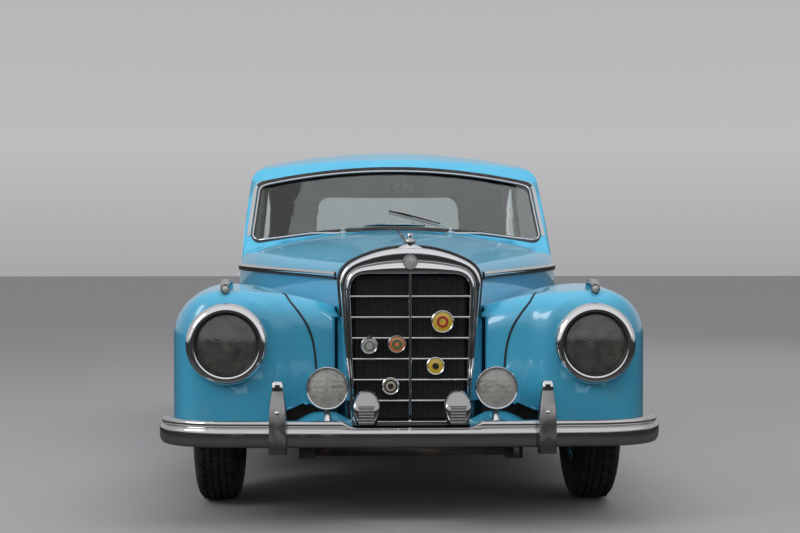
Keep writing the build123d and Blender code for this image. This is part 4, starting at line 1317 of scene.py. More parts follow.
def make_wing_lamps():
    """Small streamlined lamps on the crowns, each with a clear nose."""
    low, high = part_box("wing_lamps")
    x, foot_z, top_z = 0.678, 0.776, 0.896
    nose_at = low.y - 0.110
    rings = []
    length = high.y - nose_at
    for k in range(19):
        t = k / 18
        nose = sqrt(max(0.02, 1 - abs(2 * min(t, 0.5) - 1) ** 2.4))
        half = 0.0240 * nose * (1 - 0.70 * smooth_step(t, 0.40, 1.0))
        top = top_z - 0.050 * smooth_step(t, 0.30, 1.0) - 0.016 * (1 - smooth_step(t, 0.0, 0.16))
        outline = rounded(
            [
                (-half * 0.72, foot_z), (half * 0.72, foot_z), (half, top - 0.022), (half * 0.8, top),
                (-half * 0.8, top), (-half, top - 0.022),
            ],
            half * 0.9, 5,
        )
        rings.append([Vector((x + p[0], nose_at + length * t, p[1])) for p in outline])
    add("wing_lamp_bodies", with_mirror(capped(rings)), aged_chrome, "wing_lamps", crease=50)
    centre = (x, nose_at - 0.010, top_z - 0.036)
    nose = [(-0.002, 0.0), (0.001, 0.007), (0.007, 0.0120), (0.014, 0.0145), (0.020, 0.0145), (0.020, 0.0)]
    turned_pair("wing_lamp_lenses", nose, centre, rearward, 28, fog_glass)
    band = [
        (0.010, 0.0150), (0.010, 0.0166), (0.018, 0.0172), (0.026, 0.0164), (0.026, 0.0140), (0.010, 0.0150)
    ]
    turned_pair("wing_lamp_bands", band, centre, rearward, 28, chrome)


def make_tail_lamps():
    """Bright rims and ribbed red lenses."""
    low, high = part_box("tail_lamps")
    tail_x, tail_z = 0.660, 0.560
    centre = (tail_x, low.y, tail_z)
    ring = [
        (0, 0.040), (0, 0.050), (0.006, 0.052), (0.014, 0.049), (0.018, 0.043), (0.014, 0.040), (0, 0.040),
    ]
    turned_pair("tail_lamp_rims", ring, centre, rearward, 56, chrome)
    rings = [[Vector((tail_x, high.y, tail_z))]]
    for k in range(1, 11):
        y = high.y - 0.016 * (k / 10) ** 2.4 - 0.0012 * (k % 2)
        rings.append([Vector((tail_x + x, y, tail_z + z)) for x, z in circle(0.0425 * k / 10, 64)])
    rings.append([Vector((p.x, low.y + 0.001, p.z)) for p in rings[-1]])
    rings.append([Vector((tail_x, low.y + 0.001, tail_z))])
    add("tail_lamp_lenses", with_mirror(skin(rings)), red_lens, "tail_lamps", crease=20)


# Radiator surround, grille, badges and filler cap

def spread(half, count, first, last):
    """A closed outline resampled from the middle of its foot round to the same place."""
    line = first + half + last
    return resampled([Vector((p[0], 0, p[1])) for p in line], count + 1)[:-1]


def arch_points(a, middle, b, steps):
    """Points of a smooth arc through three points, without its first."""
    a, middle, b = Vector(a), Vector(middle), Vector(b)
    handle = middle * 2 - (a + b) / 2
    return [
        tuple((1 - t) ** 2 * a + 2 * t * (1 - t) * handle + t * t * b)
        for t in (k / steps for k in range(1, steps + 1))
    ]


def shell_outline(count):
    """Outer edge of the radiator surround."""
    side = [(0.218, 0.352), (0.262, 0.880)]
    side += arch_points((0.262, 0.880), (0.250, 0.925), (0.216, 0.958), 10)
    side += arch_points((0.216, 0.958), (0.112, 0.9985), (0.0, 1.012), 16)
    other = [(-x, z) for x, z in reversed(side[:-1])]
    return spread(side + other, count, [(0.0, 0.352)], [(0.0, 0.352)])


def hole_outline(count):
    """Edge of the surround's opening, from the middle of its foot."""
    edge = tapered(0.204, 0.372, 0.222, 0.913, 0.062, 10)
    after = edge[1:] + edge[:1]
    start = next(i for i, (p, q) in enumerate(zip(edge, after)) if p.x <= 0 < q.x and p.y < 0.4)
    line = [tuple(p) for p in edge[start + 1:] + edge[:start + 1]]
    return spread(line, count, [(0.0, 0.372)], [(0.0, 0.372)])


def make_radiator_shell():
    """The surround with its seal, six cross bars, a centre bar, upright slats and the dark core."""
    count = 160
    outer = shell_outline(count)
    inner = hole_outline(count)
    front = shell_front_y
    profile = [
        (0.00, front + 0.056), (0.00, front + 0.014), (0.02, front + 0.006), (0.07, front + 0.001),
        (0.15, front - 0.0005), (0.42, front), (0.47, front + 0.002), (0.50, front + 0.006),
        (0.54, front + 0.006), (0.57, front + 0.001), (0.62, front - 0.002), (0.80, front - 0.003),
        (0.92, front - 0.001), (0.98, front + 0.004), (1.00, front + 0.012), (1.00, front + 0.052),
        (0.93, front + 0.056),
    ]
    rings = []
    for share, y in profile:
        rings.append(
            [
                Vector((o.x + (i.x - o.x) * share, y, o.z + (i.z - o.z) * share))
                for o, i in zip(outer, inner)
            ]
        )
    add("radiator_surround", skin(rings + rings[:1]), chrome, "radiator_shell", crease=50)

    seal_path = [Vector((p.x * 1.018, front + 0.050, 0.352 + (p.z - 0.352) * 1.008)) for p in outer[2:-1]]
    seal = tube(seal_path, 0.0055, 8, up=Vector(rearward))
    add("radiator_seal", seal, seal_rubber)

    edge = tapered(0.0035, -0.006, 0.0045, 0.004, 0.003, 4)
    bar = capped([[Vector((x, p[1], p[0])) for p in edge] for x in (-0.2215, 0.2215)])
    bars = repeated(
        "grille_cross_bars", bar, row_tree, chrome, Count=6, First=(0, front + 0.020, 0.444),
        Step=(0, 0, 0.0774),
    )
    fasten(bars, "car_body", "chrome_plate")
    strip = tapered(0.005, -0.006, 0.006, 0.006, 0.003, 4)
    centre_bar = capped([[Vector((p[0], front + 0.018 + p[1], z)) for p in strip] for z in (0.366, 0.916)])
    add("grille_centre_bar", centre_bar, chrome)

    fin = tapered(0.0013, -0.0055, 0.0017, 0.0055, 0.001, 2)
    slat = capped([[Vector((p[0], p[1], z)) for p in fin] for z in (0.380, 0.906)])
    pitch = 0.0068
    slats = repeated(
        "grille_slats", slat, row_tree, slat_black, Count=59, First=(-29 * pitch, front + 0.034, 0),
        Step=(pitch, 0, 0),
    )
    fasten(slats, "car_body", "slat_black")
    low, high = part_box("radiator_core")
    core = box_part((low.x, high.y - 0.056, low.z), (high.x, high.y, 0.890))
    softened(add("radiator_block", core, core_black, "radiator_core"), 0.004)


def make_filler_cap():
    """A plain cap with finger grips on a moulded foot."""
    y = shell_front_y + 0.028
    rings = []
    for z, half, depth in (
        (0.994, 0.052, 0.018), (1.006, 0.050, 0.017), (1.012, 0.045, 0.0165), (1.018, 0.034, 0.016),
        (1.022, 0.024, 0.0155), (1.024, 0.018, 0.015),
    ):
        rings.append([Vector((half * u, y + depth * v, z)) for u, v in circle(1, 48)])
    add("filler_foot", capped(rings), chrome, crease=60)
    cap = lathe(
        [
            (1.018, 0.0), (1.018, 0.016), (1.024, 0.0195), (1.030, 0.0205), (1.038, 0.0205), (1.042, 0.018),
            (1.045, 0.011), (1.049, 0.008), (1.053, 0.009), (1.058, 0.0125), (1.0625, 0.011),
            (1.0655, 0.006), (1.0665, 0.0),
        ],
        (0, y, 0), upward, 56,
    )
    add("filler_cap", cap, aged_chrome)
    grip = box_part((-0.0007, 0.0198, -0.0035), (0.0007, 0.0213, 0.0035))
    grips = repeated(
        "filler_cap_grips", grip, ring_tree, aged_chrome, Count=40, Centre=(0, y, 1.034), Axis=upward,
    )
    fasten(grips, "car_body", "chrome_plate")


def round_badge(name, x, z, radius, face, rim_material, y, rise=0.004):
    """A domed enamel disc in a plated rim, bare of any design."""
    rim = lathe(
        [
            (0.004, 0.0), (0.004, radius), (0.000, radius + 0.0005), (-0.004, radius),
            (-0.0055, radius * 0.94), (-0.004, radius * 0.88), (0.001, radius * 0.87),
        ],
        (x, y, z), rearward, 56,
    )
    add(name + "_rim", rim, rim_material, slot="chrome_plate")
    disc = lathe(
        [
            (0.002, 0.0), (0.002, radius * 0.885), (-0.002, radius * 0.885),
            (-0.002 - rise * 0.5, radius * 0.5), (-0.002 - rise * 0.65, 0.0),
        ],
        (x, y, z), rearward, 56,
    )
    add(name + "_face", disc, face, slot="badge_enamel")


def badge_ring(name, x, z, inner, outer, material, y):
    """A thin enamel ring on a badge's face."""
    ring = lathe(
        [
            (0.000, inner), (-0.0012, inner), (-0.0016, (inner + outer) / 2), (-0.0012, outer),
            (0.000, outer), (0.000, inner),
        ],
        (x, y, z), rearward, 48,
    )
    add(name, ring, material, slot="badge_enamel")


# Name, x, z, radius, face, rim, ring's name, its inner and outer radius, its material
badge_rows = (
    ("badge_low_right", -0.073, 0.500, 0.032, cream_enamel, chrome, "band", 0.0185, 0.0245, dial_black),
    ("badge_middle", -0.050, 0.655, 0.033, orange_enamel, dull_plate, "band", 0.010, 0.018, green_enamel),
    (
        "badge_high_left", 0.119, 0.738, 0.042, yellow_enamel, aged_chrome, "band", 0.0125, 0.0215,
        red_enamel,
    ),
    ("badge_low_left", 0.093, 0.574, 0.033, yellow_enamel, chrome, "core", 0.0005, 0.012, dial_black),
    (
        "badge_crest", -0.152, 0.650, 0.031, dull_plate_enamel, aged_chrome, "band", 0.0135, 0.0185,
        dull_plate,
    ),
)
star_badge = "badge_low_right"
badge_pin_places = ((-0.152, 0.652), (-0.050, 0.655), (0.119, 0.738), (0.093, 0.574), (-0.073, 0.500))


def make_badges():
    """Five plain club badges on the bars, one with a plain star, and a bare one on the surround."""
    y = shell_front_y - 0.001
    face_y = y - 0.0045
    for name, x, z, radius, face, rim, ring, inner, outer, material in badge_rows:
        round_badge(name, x, z, radius, face, rim, y)
        badge_ring(f"{name}_{ring}", x, z, inner, outer, material, face_y)
        if name == star_badge:
            add(f"{name}_star", star_part(x, z, 0.015, 8, face_y), dial_black, slot="badge_enamel")
    crown = lathe(
        [(0.000, 0.0), (0.000, 0.011), (0.005, 0.012), (0.009, 0.007), (0.011, 0.0)], (-0.152, y, 0.679),
        upward, 24,
    )
    add("badge_crest_top", crown, aged_chrome, "grille_badges")
    round_badge("surround_badge", 0.0, 0.9585, 0.027, dull_plate_enamel, dull_plate, shell_front_y - 0.003)
    verts, faces = lathe([(0.0, 0.0), (0.0, 0.004), (0.024, 0.004), (0.024, 0.0)], (0, 0, 0), rearward, 12)
    pins = joined(*[([v + Vector((x, y + 0.003, z)) for v in verts], faces) for x, z in badge_pin_places])
    add("badge_pins", pins, dull_plate)


def star_part(x, z, radius, points, y):
    """A flat star that stands on a badge's face."""
    outline = []
    for i in range(points * 2):
        reach = radius if i % 2 == 0 else radius * 0.55
        angle = pi * i / points
        outline.append((x + reach * sin(angle), z + reach * cos(angle)))
    return capped([[Vector((px, y + along, pz)) for px, pz in outline] for along in (0.002, -0.0015)])


# Bumpers, wheels, wipers and outside trim

# The bumper bar's section: outward from its path, and up
bumper_section = [
    (-0.003, -0.0470), (0.0060, -0.0470), (0.0140, -0.0435), (0.0205, -0.0360), (0.0245, -0.0260),
    (0.0262, -0.0140), (0.0265, 0.0), (0.0262, 0.0120), (0.0245, 0.0185), (0.0200, 0.0222),
    (0.0145, 0.0235), (0.0120, 0.0255), (0.0128, 0.0290), (0.0160, 0.0325), (0.0175, 0.0375),
    (0.0170, 0.0425), (0.0125, 0.0470), (0.0050, 0.0495), (-0.003, 0.0500),
]


def make_bumper(name, sign, end_y, z, notch, node):
    """The bar, whose upper bead steps down in the middle where there is a notch."""
    face_y = sign * bumper_face_y
    half = 0.897
    bow = 0.020
    bar_depth = 0.025
    corner_wide = 0.270 if notch else 0.110
    corner_y = face_y - sign * (bar_depth + bow)
    path = []
    for k in range(25):
        turn = pi / 2 * k / 24
        x = -half + corner_wide * (1 - sin(turn))
        path.append(Vector((x, end_y + (corner_y - end_y) * cos(turn), z)))
    path = path[::-1]
    for x in np.linspace(-0.600, 0.600, 25):
        path.append(Vector((x, face_y - sign * (bar_depth + bow * (x / (half - corner_wide)) ** 2), z)))
    path += [Vector((-p.x, p.y, p.z)) for p in path[:25][::-1]]
    fine = []
    for a, b in zip(path, path[1:]):
        parts = max(1, int((b - a).length / 0.02))
        fine += [a.lerp(b, k / parts) for k in range(parts)]
    fine.append(path[-1])
    rings = []
    for i, point in enumerate(fine):
        before = fine[max(0, i - 1)]
        after = fine[min(len(fine) - 1, i + 1)]
        along = (after - before).normalized()
        side = along.cross(Vector(upward)) * -sign
        lift = smooth_step(abs(point.x), 0.215, 0.243) if notch else 1.0
        nearness = min(1.0, min(i, len(fine) - 1 - i) / 3 + 0.35)
        ring = []
        for u, v in bumper_section:
            if v > 0.022:
                v = 0.022 + (v - 0.022) * (0.10 + 0.90 * lift)
                u = u if u < 0.004 else 0.008 + (u - 0.008) * (0.3 + 0.7 * lift)
            ring.append(point + side * (u * nearness) + Vector((0, 0, v * (0.86 + 0.14 * nearness))))
        rings.append(ring)
    add(name, capped(rings), bumper_chrome, node, crease=42)


# The overriders' bright caps: height, half width, how far it stands forward
overrider_cap_rows = (
    (0.0, 0.0210, 0.0),
    (0.004, 0.0225, 0.0012),
    (0.030, 0.0195, 0.0012),
    (0.036, 0.0165, -0.002),
    (0.038, 0.0120, -0.006),
)


def make_overriders(name, sign, z, finish):
    """Tapered guards over the bar, each with a bright cap, a dark inset and a bolt."""
    face_y = bumper_face_y
    foot, top = z - 0.064, z + 0.190
    guard_x = 0.480
    frame_end = 2.150
    bar_back = 2.285
    rings = []
    for k in range(25):
        t = k / 24
        here = foot + (top - foot) * t
        half = 0.0335 - 0.003 * t - 0.011 * smooth_step(t, 0.55, 1.0)
        reach = 0.0335 * (1 - 0.45 * smooth_step(t, 0.45, 1.0)) * (0.80 + 0.20 * smooth_step(t, 0.0, 0.12))
        front = face_y + reach
        back = face_y - 0.020
        outline = tapered(half, back, half * 0.94, front, half * 0.30, 4)
        rings.append([Vector((guard_x + p[0], sign * p[1], here)) for p in outline])
    add(name, with_mirror(capped(rings)), finish, slot="chrome_plate", crease=46)
    caps = []
    for t, half, grow in overrider_cap_rows:
        front = face_y + 0.0192 + grow
        outline = tapered(half, face_y - 0.021, half * 0.94, front, half * 0.34, 4)
        caps.append([Vector((guard_x + p[0], sign * p[1], top - 0.033 + t)) for p in outline])
    add(name + "_caps", with_mirror(capped(caps)), chrome, crease=46)
    inset = tapered(0.0105, -0.0115, 0.0090, 0.0115, 0.003, 3)
    face = face_y + 0.0206
    slab = capped(
        [
            [Vector((guard_x + p[0], sign * (face + rise), top - 0.018 + p[1])) for p in inset]
            for rise in (-0.004, 0.0)
        ]
    )
    add(name + "_insets", with_mirror(slab), seal_rubber)
    bolt = [(0, 0.0), (0, 0.0075), (0.003, 0.0070), (0.0055, 0.0045), (0.0062, 0.0)]
    bolt_place = (guard_x, sign * (face_y + 0.0300), z + 0.085)
    turned_pair(name + "_bolts", bolt, bolt_place, (0, sign, 0.2), 20, chrome)
    ends = sorted((sign * bar_back, sign * frame_end))
    arm = box_part((0.353, ends[0], z - 0.020), (0.375, ends[1], z + 0.006))
    add(name + "_brackets", with_mirror(arm), chassis_black)


# Name, side, y and x of each wheel
corners = (
    ("front_left", 1, front_axle_y, front_wheel_x),
    ("front_right", -1, front_axle_y, front_wheel_x),
    ("rear_left", 1, rear_axle_y, rear_wheel_x),
    ("rear_right", -1, rear_axle_y, rear_wheel_x),
)


def wheel_lathe(profile, side, x, y, count=96):
    """A profile of (outward from the wheel's middle, radius) turned about the axle."""
    return lathe([(side * u, r) for u, r in profile], (side * x, y, tyre_radius), leftward, count)


# Blocks of one row of the tread: place across the tyre, width, skew
tread_rows = (
    (-0.052, 0.0175, 0.004),
    (-0.026, 0.0190, -0.003),
    (0.0, 0.0190, 0.003),
    (0.026, 0.0190, -0.003),
    (0.052, 0.0175, 0.004),
)


def tread_unit():
    """One row of tread blocks across the tyre, at the top of the wheel."""
    blocks = []
    long = 0.0115
    for u, width, skew in tread_rows:
        half = width / 2
        drop = 0.0018 if abs(u) > 0.04 else 0.0
        corners_at = []
        for z in (0.3435, 0.3522 - drop):
            size = 1.0 if z < 0.35 else 0.93
            for a, b in ((-1, -1), (1, -1), (1, 1), (-1, 1)):
                corners_at.append(Vector((u + a * half * size, b * long * size + skew * a, z)))
        faces = [(0, 3, 2, 1), (4, 5, 6, 7), (0, 1, 5, 4), (1, 2, 6, 5), (2, 3, 7, 6), (3, 0, 4, 7)]
        blocks.append((corners_at, faces))
    return joined(*blocks)


# Profiles of the wheel: outward from its middle, radius
tyre_wall = [
    (0.0400, 0.3452), (0.0640, 0.3430), (0.0700, 0.3390), (0.0760, 0.330), (0.0790, 0.322), (0.0822, 0.312),
    (0.0850, 0.296), (0.0862, 0.284), (0.0872, 0.282), (0.0878, 0.262), (0.0855, 0.240), (0.0795, 0.222),
    (0.0755, 0.216), (0.076, 0.214), (0.072, 0.205), (0.064, 0.196), (0.058, 0.1905),
]
tyre_profile = [(-u, r) for u, r in reversed(tyre_wall)] + [(0.0, 0.3460)] + tyre_wall
rim_profile = [
    (-0.062, 0.1895), (-0.066, 0.1960), (-0.070, 0.2020), (-0.066, 0.2030), (-0.060, 0.1960),
    (-0.056, 0.1880), (-0.040, 0.1840), (-0.010, 0.1780), (0.020, 0.1780), (0.044, 0.1850), (0.058, 0.1890),
    (0.064, 0.1970), (0.069, 0.2030), (0.0735, 0.2010), (0.0705, 0.1930), (0.062, 0.1830), (0.048, 0.1740),
    (0.036, 0.1660), (0.034, 0.1560), (0.040, 0.1440), (0.046, 0.1340), (0.045, 0.1180), (0.040, 0.1060),
    (0.040, 0.0), (-0.050, 0.0), (-0.050, 0.138), (0.002, 0.140), (0.004, 0.166), (-0.050, 0.170),
    (-0.062, 0.181), (-0.062, 0.1895),
]
cap_profile = [
    (0.036, 0.0), (0.036, 0.128), (0.041, 0.1295), (0.046, 0.127), (0.050, 0.120), (0.054, 0.104),
    (0.0575, 0.082), (0.0585, 0.064), (0.0560, 0.060), (0.0560, 0.056), (0.0610, 0.052), (0.0670, 0.040),
    (0.0705, 0.024), (0.0715, 0.010), (0.0717, 0.0),
]
trim_ring_profile = [
    (0.052, 0.1780), (0.056, 0.1700), (0.0615, 0.1690), (0.0690, 0.1780), (0.0755, 0.1910),
    (0.0765, 0.2000), (0.0730, 0.2045), (0.0700, 0.2040), (0.0735, 0.1985), (0.0715, 0.1905),
    (0.0640, 0.1810), (0.052, 0.1780),
]


def make_wheels():
    """Tyre, tread, rim, hub cap, trim ring and valve of each wheel."""
    for corner, side, y, x in corners:
        body = f"wheel_{corner}"
        tyre = wheel_lathe(tyre_profile + tyre_profile[:1], side, x, y, 128)
        add(f"tyre_{corner}_carcass", tyre, tyre_rubber, f"tyre_{corner}", body=body, crease=30)
        tread = repeated(
            f"tyre_{corner}_tread", tread_unit(), ring_tree, tyre_rubber, Count=78,
            Centre=(side * x, y, tyre_radius), Axis=leftward,
        )
        fasten(tread, body, "tyre_rubber")
        rim = wheel_lathe(rim_profile, side, x, y)
        add(f"rim_{corner}_disc", rim, wheel_paint, f"rim_{corner}", body=body, crease=30)
        cap = wheel_lathe(cap_profile, side, x, y)
        add(f"hub_cap_{corner}", cap, chrome, body=body, crease=40)
        trim = wheel_lathe(trim_ring_profile, side, x, y)
        add(f"trim_ring_{corner}", trim, chrome, body=body, crease=40)
        valve = lathe(
            [(0, 0.0), (0, 0.004), (0.012, 0.0035), (0.013, 0.0045), (0.022, 0.0045), (0.023, 0.0)],
            (side * (x + 0.050), y, tyre_radius + 0.163), (side, 0, -0.35), 12,
        )
        add(f"valve_{corner}", valve, seal_rubber, body=body)


def screen_frame_edges(count):
    """Inner and outer points of the windscreen frame, all the way round."""
    surface = surface_of("windscreen_frame")
    inner = []
    outer = []
    for k in range(count):
        turn = 2 * pi * (k + 0.5) / count
        reach_x = 0.700 * copysign(abs(cos(turn)) ** 0.6, cos(turn))
        reach_z = 0.186 * copysign(abs(sin(turn)) ** 0.6, sin(turn))
        hits = []
        for step in range(300):
            share = 0.78 + 0.0012 * step
            hit, normal = cast(surface, (reach_x * share, before_screen, 1.214 + reach_z * share), rearward)
            if hit and abs(normal.y) > 0.25:
                hits.append(hit)
        if hits:
            inner.append(hits[0])
            outer.append(hits[-1])
    return inner, outer


def bead_rings(path, sides, section, closed):
    """Rings of a section along a path; sides point across it, in the surface."""
    rings = []
    count = len(path)
    for k, (point, side) in enumerate(zip(path, sides)):
        before = path[k - 1] if closed or k else path[0]
        after = path[(k + 1) % count] if closed or k + 1 < count else path[-1]
        along = (after - before).normalized()
        aside = (side - along * side.dot(along)).normalized()
        out = along.cross(aside).normalized()
        if out.y > 0:
            out = -out
        rings.append([point + aside * u + out * v for u, v in section])
    return rings


def make_screen_beads():
    """A bright bead in the seal, a bright strip on each pillar and a dark band under the roof."""
    inner, outer = screen_frame_edges(200)
    middle = [a.lerp(b, 0.38) for a, b in zip(inner, outer)]
    sides = [(b - a).normalized() for a, b in zip(inner, outer)]
    bead = tapered(0.0052, -0.002, 0.0036, 0.0036, 0.003, 3)
    rings = bead_rings(middle, sides, bead, True)
    add("windscreen_bead", skin(rings + rings[:1]), chrome)
    roof = surface_of("roof", "body_shell")
    strips = []
    for sign in (1, -1):
        edges = [(e, s) for e, s in zip(outer, sides) if e.x * sign > 0.60 and 1.062 < e.z < 1.352]
        edges.sort(key=lambda pair: pair[0].z)
        line = []
        widths = []
        for edge, side in edges:
            near = edge + side * 0.003
            far = edge + side * 0.021
            near_hit, _ = cast(roof, (near.x, before_screen, near.z), rearward)
            far_hit, _ = cast(roof, (far.x, before_screen, far.z), rearward)
            if near_hit and far_hit and (far_hit - near_hit).length < 0.030:
                line.append((near_hit + far_hit) / 2)
                widths.append((far_hit - near_hit).normalized())
        flat = tapered(0.0105, -0.003, 0.0085, 0.0032, 0.003, 3)
        if len(line) > 3:
            strips.append(capped(bead_rings(line, widths, flat, False)))
    if strips:
        add("pillar_strips", joined(*strips), chrome)
    path = []
    over = []
    for edge, side in zip(outer, sides):
        if edge.z > 1.27 and abs(edge.x) < 0.672:
            place = edge + side * 0.007
            hit, _ = cast(roof, (place.x, before_screen, place.z), rearward)
            if hit and abs(hit.y - place.y) < 0.05:
                path.append(hit)
                over.append(side)
    order = sorted(range(len(path)), key=lambda k: path[k].x)
    path = [path[k] for k in order]
    over = [over[k] for k in order]
    band = tapered(0.0095, -0.002, 0.0075, 0.0042, 0.003, 3)
    add("windscreen_head_band", capped(bead_rings(path, over, band, False)), seal_rubber)


# The knob that holds a wiper's arm: along its axis, radius
knob_profile = [
    (-0.010, 0.0), (-0.010, 0.017), (0.001, 0.017), (0.004, 0.013),
    (0.006, 0.010), (0.016, 0.010), (0.020, 0.0075), (0.022, 0.0),
]


def make_wipers():
    """Two wipers parked low on the glass, one blade over the other."""
    cowl = surface_of("body_shell")
    glass = surface_of("windscreen")
    for side, label, foot, grip, first, last in (
        (1, "left", (454.3, 233.0), (412, 219.5), (389, 211.5), (440, 224.5)),
        (-1, "right", (339.4, 233.0), (386, 225.5), (364, 226.5), (425, 226.5)),
    ):
        base, _ = seen_at(cowl, *foot)
        if base is None:
            base = Vector((side * 0.255, -0.492, 1.082))
        knob = lathe(knob_profile, base, (0, -0.35, 1), 24)
        blade_a, out = seen_at(glass, *first)
        blade_b, _ = seen_at(glass, *last)
        middle, _ = seen_at(glass, *grip)
        out = out if out.y < 0 else -out
        arm_path = curve_through([
            base + Vector((0, -0.004, 0.014)),
            base.lerp(middle, 0.35) + out * 0.022,
            base.lerp(middle, 0.75) + out * 0.018,
            middle + out * 0.014,
        ], 8)
        bow_points = [blade_a + out * 0.008]
        for share in (0.25, 0.5, 0.75):
            bow_points.append(blade_a.lerp(blade_b, share) + out * 0.014)
        bow_points.append(blade_b + out * 0.008)
        arm = tube(arm_path, 0.0034, 8, squeeze=0.7)
        bow = tube(curve_through(bow_points, 6), 0.0030, 8)
        nodes = ("wipers",) if side == 1 else ()
        add(f"wiper_{label}", joined(knob, arm, bow), aged_chrome, *nodes)
        rubber_path = [blade_a.lerp(blade_b, k / 16) + out * 0.007 for k in range(17)]
        rubber_section = [(-0.002, -0.005), (0.002, -0.005), (0.003, 0.004), (-0.003, 0.004)]
        rubber = capped(sweep(rubber_path, rubber_section, up=out))
        add(f"wiper_rubber_{label}", rubber, seal_rubber)


def make_mirror():
    """Small mirror hung from the windscreen's upper edge."""
    centre = Vector((0.036, -0.128, 1.300))
    back = lathe(
        [(-0.014, 0.0), (-0.014, 0.010), (-0.010, 0.030), (0.000, 0.036), (0.003, 0.036), (0.004, 0.033)],
        (0, 0, 0), rearward, 40,
    )
    glass = lathe([(0.0035, 0.0335), (0.0035, 0.0)], (0, 0, 0), rearward, 40)
    for part in (back, glass):
        for place in part[0]:
            place.x = place.x * 1.75 + centre.x
            place.y = place.y + centre.y
            place.z = place.z * 0.72 + centre.z
    stem_places = ((0, -0.010, 0.004), (0, -0.016, 0.030), (0, -0.010, 0.078))
    stem_path = curve_through([centre + Vector(place) for place in stem_places], 6)
    stem = tube(stem_path, 0.0045, 10, up=Vector(leftward))
    add("mirror_case", joined(back, stem), slat_black)
    add("mirror_glass", glass, chrome)


# Cabin

seat_middle = 0.370
pleat_pitch = 0.052

# Side outlines of the cushions and backrests: y, z
front_pads = {
    "front_cushion": [
        (-0.038, 0.362), (0.430, 0.362), (0.388, 0.424), (0.20, 0.432), (-0.010, 0.445), (-0.042, 0.425),
    ],
    "front_backrest": [
        (0.382, 0.452), (0.466, 0.412), (0.584, 0.930), (0.558, 0.945), (0.506, 0.942), (0.486, 0.915),
    ],
}
rear_pads = {
    "rear_cushion": [
        (0.662, 0.345), (0.895, 0.345), (0.868, 0.438), (0.76, 0.444), (0.668, 0.460), (0.650, 0.436),
    ],
    "rear_backrest": [
        (0.892, 0.460), (0.930, 0.505), (1.012, 0.520), (1.056, 0.868), (1.026, 0.882), (0.992, 0.880),
        (0.974, 0.855),
    ],
}


def pad_blank(name, outline, x0, x1, voxel):
    """A rounded block of a cushion's outline, with an even mesh."""
    blank = new_piece(name + "_blank", *across(outline, (x0, x1)), cream_leather)
    softened(blank, 0.022, 3, 30)
    remesh = blank.modifiers.new("even_mesh", "REMESH")
    remesh.mode = "VOXEL"
    remesh.voxel_size = voxel
    mesh = bpy.data.meshes.new_from_object(evaluated(blank))
    bpy.data.objects.remove(blank)
    return put_in_scene(name, mesh)


def filled(pad, held_faces, reach):
    """The pad blown up like stuffed leather: the faces it lies on stay where they are."""
    mesh = pad.data
    flat = [v.co.copy() for v in mesh.vertices]
    held = pad.vertex_groups.new(name="held")
    held.add([v.index for v in mesh.vertices if held_faces(v.normal)], 1.0, "ADD")
    cloth = pad.modifiers.new("stuffing", "CLOTH")
    cloth.settings.vertex_group_mass = "held"
    cloth.settings.use_pressure = True
    cloth.settings.uniform_pressure_force = 4
    cloth.settings.effector_weights.gravity = 0
    cloth.settings.quality = 4
    cloth.settings.mass = 0.3
    cloth.collision_settings.use_collision = False
    cloth.point_cache.frame_start = 1
    cloth.point_cache.frame_end = 20
    scene = bpy.context.scene
    for moment in range(1, 21):
        scene.frame_set(moment)
    blown = pad.evaluated_get(bpy.context.evaluated_depsgraph_get()).data
    moved = [v.co.copy() for v in blown.vertices]
    pad.modifiers.clear()
    pad.vertex_groups.clear()
    for vertex, before, after in zip(mesh.vertices, flat, moved):
        step = after - before
        if step.length > reach:
            step = step.normalized() * reach
        vertex.co = before + step
    scene.frame_set(1)
    mesh.update()


def pleat(pad, middle, half, facing, across_from, across_to):
    """Sewn flutes over the face that is sat on, inside a plain border with a seam."""
    mesh = pad.data
    mesh.update()
    low = min(v.co[across_from] for v in mesh.vertices) + across_to
    high = max(v.co[across_from] for v in mesh.vertices) - across_to
    steps = []
    for vertex in mesh.vertices:
        share = smooth_step(vertex.normal.dot(facing), 0.45, 0.75)
        side = half - abs(vertex.co.x - middle)
        ends = min(vertex.co[across_from] - low, high - vertex.co[across_from])
        inside = smooth_step(min(side, ends), -0.002, 0.008)
        flute = abs(sin(pi * (vertex.co.x - middle + half) / pleat_pitch))
        seam = max(0.0, 1 - abs(min(side, ends)) / 0.008)
        depth = 0.012 * (1 - flute) ** 1.5 * inside + 0.0075 * seam
        steps.append(vertex.normal * (-depth * share))
    for vertex, step in zip(mesh.vertices, steps):
        vertex.co += step
    mesh.update()


def make_pad(name, outline, x0, x1, half, facing, axis, border):
    """One stuffed and pleated pad."""
    pad = pad_blank(name, outline, x0, x1, 0.0070 if x1 - x0 < 0.6 else 0.0085)
    filled(pad, lambda normal: normal.dot(facing) < -0.6, 0.024)
    pleat(pad, (x0 + x1) / 2, half, facing, axis, border)
    shade_smooth(pad, 60)
    pad.data.materials.clear()
    pad.data.materials.append(cream_leather)
    return pad


